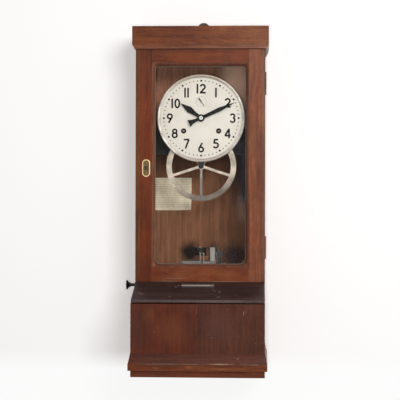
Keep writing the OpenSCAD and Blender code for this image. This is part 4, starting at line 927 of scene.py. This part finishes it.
# the card: a thin sheet whose free corner lifts with the square of its nearness to that corner
def cardSheet():
    n, m = card["grid"]
    u, v = np.meshgrid(np.linspace(0, 1, n), np.linspace(0, 1, m), indexing="ij")
    near = np.clip((u - 0.55) / 0.45, 0, 1) ** 2 * np.clip((0.5 - v) / 0.5, 0, 1) ** 2
    ripple = card["ripple"] * np.sin(u * 9.0) * np.sin(v * 7.0) ** 2
    x = card["x0"] + u * (card["x1"] - card["x0"]) - near * 1.5
    z = card["z0"] + v * (card["z1"] - card["z0"]) + near * 1.2
    lift = 0.06 + near * card["lift"] + np.abs(ripple)
    front = np.stack([x, card["back"] - card["thick"] - lift, z], -1)
    back = np.stack([x, card["back"] - lift, z], -1)
    faces = gridFaces(n, m, False, False)
    rim = np.concatenate([np.arange(m), np.arange(1, n) * m + m - 1, (n - 1) * m + np.arange(m - 2, -1, -1),
                          np.arange(n - 2, 0, -1) * m])
    wall = np.stack([rim, np.roll(rim, -1), np.roll(rim, -1) + n * m, rim + n * m], 1)
    points = np.vstack([front.reshape(-1, 3), back.reshape(-1, 3)])
    return points, np.vstack([faces, faces[:, ::-1] + n * m, wall])


makePiece("paper_card", cardSheet(), paperMaterial(card), "case", ["instruction_card"], 50.0)
print("card built")


lockPlate = {"x": -146.0, "z": 547.0, "half": 11.0, "straight": 12.5, "back": -28.0, "count": 72,
             "steps": [(0.0, 0.0), (0.0, 1.9), (0.3, 2.35), (0.9, 2.5), (2.0, 2.45), (2.7, 1.9), (3.2, 1.5),
                       (4.9, 1.5)], "hole": (6.06, 1.5)}


# a lock plate: a long round-ended outline drawn in by steps, each with its own height, down to the plug's
# hole
def lockPlateParts():
    t = np.arange(lockPlate["count"]) * circle / lockPlate["count"]
    around = np.stack([np.cos(t), np.sin(t)], 1)
    middle = np.array([lockPlate["x"], lockPlate["z"]])
    ends = np.stack([0 * t, np.where(np.sin(t) >= 0, 1, -1) * lockPlate["straight"]], 1)
    holeR, holeTop = lockPlate["hole"]
    rings = [(ends + around * (lockPlate["half"] - step), height) for step, height in lockPlate["steps"]]
    rings += [(around * holeR, holeTop), (around * holeR, 0.0)]
    return ringShape([atDepth(line + middle, lockPlate["back"] - height) for line, height in rings])


makePiece("lock_plate", lockPlateParts(), "lock_brass", "door", ["escutcheon"])
print("lock plate built")


bead = {"halfX": 123.0, "midZ": 555.5, "halfZ": 267.5, "radii": (10.0, 10.0, 16.0, 20.0), "wide": 8.0,
        "count": 9, "profile": [
            (1.0, -27.0), (0.93, -27.6), (0.7, -27.7), (0.5, -27.2), (0.36, -26.0), (0.26, -24.2),
            (0.12, -22.6), (0.0, -22.0), (0.0, -15.2), (0.0, -9.0), (1.0, -9.0)]}


# the window's inner line, inset a little
def windowLine(inset):
    return roundedLine(bead["midZ"], bead["halfX"], bead["halfZ"], bead["radii"], inset, bead["count"])


# the bead: each step round the window has a point on the rounded inner line and one on the square outer
# line, and the profile's share and depth run between the two
def beadParts():
    inner, outer = windowLine(0.0), []
    s = np.linspace(0, 1, bead["count"])[:, None]
    for k, ((sx, sz), r) in enumerate(zip(corners, bead["radii"])):
        corner = np.array([sx * (bead["halfX"] + bead["wide"]),
                           bead["midZ"] + sz * (bead["halfZ"] + bead["wide"])])
        ends = np.array([[corner[0], bead["midZ"] + sz * (bead["halfZ"] - r)],
                         [sx * (bead["halfX"] - r), corner[1]]])
        a, b = ends if k % 2 == 0 else ends[::-1]
        outer.append(np.where(s < 0.5, a + (corner - a) * s * 2, corner + (b - corner) * (s * 2 - 1)))
    outer = np.vstack(outer)
    return ringShape([atDepth(inner + (outer - inner) * share, y) for share, y in bead["profile"]])


makePiece("window_bead", beadParts(), "wood_bead", "door", ["glass_bead"], 30.0)

putty = {"section": [(0.0, -19.2), (0.52, -18.9), (1.3, -18.0), (0.0, -18.0)]}


# a thin line of putty all round the pane: the window's line with a slanting section
def puttyParts():
    return ringShape([atDepth(windowLine(inset), y) for inset, y in putty["section"]])


makePiece("pane_putty", puttyParts(), "putty", "door", (), 50.0)
print("bead built")


# the push knob: a trumpet-shaped profile carried round the push rod's axis
knob = {"y": 8.0, "z": 229.0, "face": round(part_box("push_knob")[0][0] / mm, 3), "profile": [
    [0.0, 0.9], [7.5, 0.9], [9.4, 0.7], [10.8, 0.25], [12.0, 0.0], [12.9, 0.35], [13.2, 1.1], [13.0, 2.0],
    [12.2, 2.9], [10.6, 4.1], [8.6, 5.4], [7.0, 7.0], [5.9, 9.0], [5.3, 10.8], [5.1, 12.0]],
    "back": [0.0, 12.0]}
knobProfile = np.vstack([smoothLine(knob["profile"], 4), knob["back"]])
makePiece("trumpet_knob", revolve(knobProfile, (knob["face"], knob["y"], knob["z"]), (1, 0, 0), 64),
          "ebonite", "push", ["push_knob"], 50.0)
print("knob built")


shadowPlate = {"mid": (32.5, 314.0), "halfX": 11.0, "halfZ": 19.0, "r": 3.0,
           "steps": [(0.4, 11.0), (0.1, 11.1), (0.0, 11.4), (0.0, 12.2)]}


# a thin dark plate behind the post, put where the post's sides are in shade, a dark sheet for painted shade:
# a rounded outline drawn back, its front edge eased by a small step
def backingParts():
    hx, hz = shadowPlate["halfX"], shadowPlate["halfZ"]
    line = roundedLine(0, hx, hz, (shadowPlate["r"],) * 4, 0, 7)
    rings = [atDepth(line * [(hx - inset) / hx, (hz - inset) / hz] + shadowPlate["mid"], y)
             for inset, y in shadowPlate["steps"]]
    points, faces = ringShape(rings, False)
    n, end = len(line), len(points) - 1
    return points, faces.tolist() + [list(range(n)), list(range(end, end - n, -1))]


makePiece("post_shadow_plate", backingParts(), "black_iron", "case")
print("printing works finished")


# the rays that look at a thing: the camera's own, gloss and glass
def seenRays(tree):
    path = addNode(tree, "LightPath").outputs
    return larger(path["Is Camera Ray"], larger(path["Is Glossy Ray"], path["Is Transmission Ray"]))


# an even light of one colour, for the stage
def glowOf(tree, colour):
    return addNode(tree, "Emission", {"Color": colour, "Strength": 1.0}).outputs[0]


# white floor and wall: seen by the camera, gloss and glass only, and only from their front, so that
# they take the shadow and never stand in the way of another view; low down they glow and take less of it
def stageMaterial(name, look):
    material = bpy.data.materials.new(name)
    material.use_nodes = True
    tree = material.node_tree
    tree.nodes.clear()
    front = minus(1.0, addNode(tree, "NewGeometry").outputs["Backfacing"])
    share = times(seenRays(tree), front)
    height = split(addNode(tree, "TexCoord").outputs["Object"])[2]
    soft = addNode(tree, "BsdfDiffuse", {"Color": look["colour"]}).outputs[0]
    lit = step("AddShader", {0: soft, 1: glowOf(tree, look["glow"])}).outputs[0]
    fade = remap(height, look["fadeTop"], look["fadeEnd"], 0.0, look["fade"])
    lit = mixShaders(fade, lit, glowOf(tree, look["plain"]))
    mixed = mixShaders(share, addNode(tree, "BsdfTransparent").outputs[0], lit)
    feed(mixed, addNode(tree, "OutputMaterial").inputs["Surface"])
    return material


# a flat four-cornered sheet for the stage
def stageSheet(name, points, material):
    mesh = bpy.data.meshes.new(name)
    mesh.from_pydata(points, [], [[0, 1, 2, 3]])
    mesh.materials.append(material)
    sheet = bpy.data.objects.new(name, mesh)
    bpy.context.scene.collection.objects.link(sheet)


stage = {"colour": (0.88, 0.9, 0.92), "glow": (0.25, 0.23, 0.215), "plain": (0.98, 0.98, 0.98),
         "fadeTop": 0.03, "fadeEnd": -0.02, "fade": 0.85, "wallY": 0.1385, "reach": 6.0, "floorZ": -0.7}
stageWhite = stageMaterial("stage_white", stage)
r, w, f = stage["reach"], stage["wallY"], stage["floorZ"]
stageSheet("back_wall", [(-r, w, f), (r, w, f), (r, w, r), (-r, w, r)], stageWhite)
stageSheet("floor", [(-r, -r, f), (r, -r, f), (r, w, f), (-r, w, f)], stageWhite)


# a soft square lamp aimed at a point; one that fills in the shade makes no reflections
def softLamp(name, at, aim, size, watts, colour, reflects=True):
    data = bpy.data.lights.new(name, "AREA")
    data.shape = "SQUARE"
    data.size = size
    data.energy = watts
    data.color = colour
    lamp = bpy.data.objects.new(name, data)
    lamp.location = at
    lamp.rotation_euler = (Vector(aim) - Vector(at)).to_track_quat("-Z", "Y").to_euler()
    lamp.visible_glossy = reflects
    bpy.context.scene.collection.objects.link(lamp)


softLamp("key_lamp", (0.95, -2.75, 1.5), (0, 0, 0.5), 1.1, 47, (1.0, 0.985, 0.96))
softLamp("front_lamp", (0.1, -2.95, 0.42), (0, 0, 0.5), 0.14, 19, (1.0, 0.99, 0.97), False)
softLamp("back_lamp", (0.6, 2.6, 1.8), (0, 0.1, 0.5), 2.0, 40, (1.0, 1.0, 1.0))

sky = {"light": 0.28, "seen": 1.0}
world = bpy.data.worlds.new("studio")
bpy.context.scene.world = world
world.use_nodes = True
tree = world.node_tree
tree.nodes.clear()
skies = [addNode(tree, "Background", {"Color": (1, 1, 1), "Strength": sky[key]}).outputs[0]
         for key in ("light", "seen")]
feed(mixShaders(seenRays(tree), *skies), addNode(tree, "OutputWorld").inputs["Surface"])

view = {"at": (0.165, -2.958, 0.4614), "aim": (0.0528, -0.028, 0.4614), "lens": 97.98, "shift": -0.0492,
        "roll": 0.0025}
cameraData = bpy.data.cameras.new("camera")
cameraData.lens = view["lens"]
cameraData.sensor_width = 36.0
cameraData.shift_x = view["shift"]
camera = bpy.data.objects.new("camera", cameraData)
camera.location = view["at"]
ahead = (Vector(view["aim"]) - Vector(view["at"])).to_track_quat("-Z", "Y")
camera.rotation_euler = (ahead @ Quaternion((0, 0, 1), view["roll"])).to_euler()
bpy.context.scene.collection.objects.link(camera)
bpy.context.scene.camera = camera
bpy.context.scene.view_settings.view_transform = "Standard"
print("stage, light and camera set")
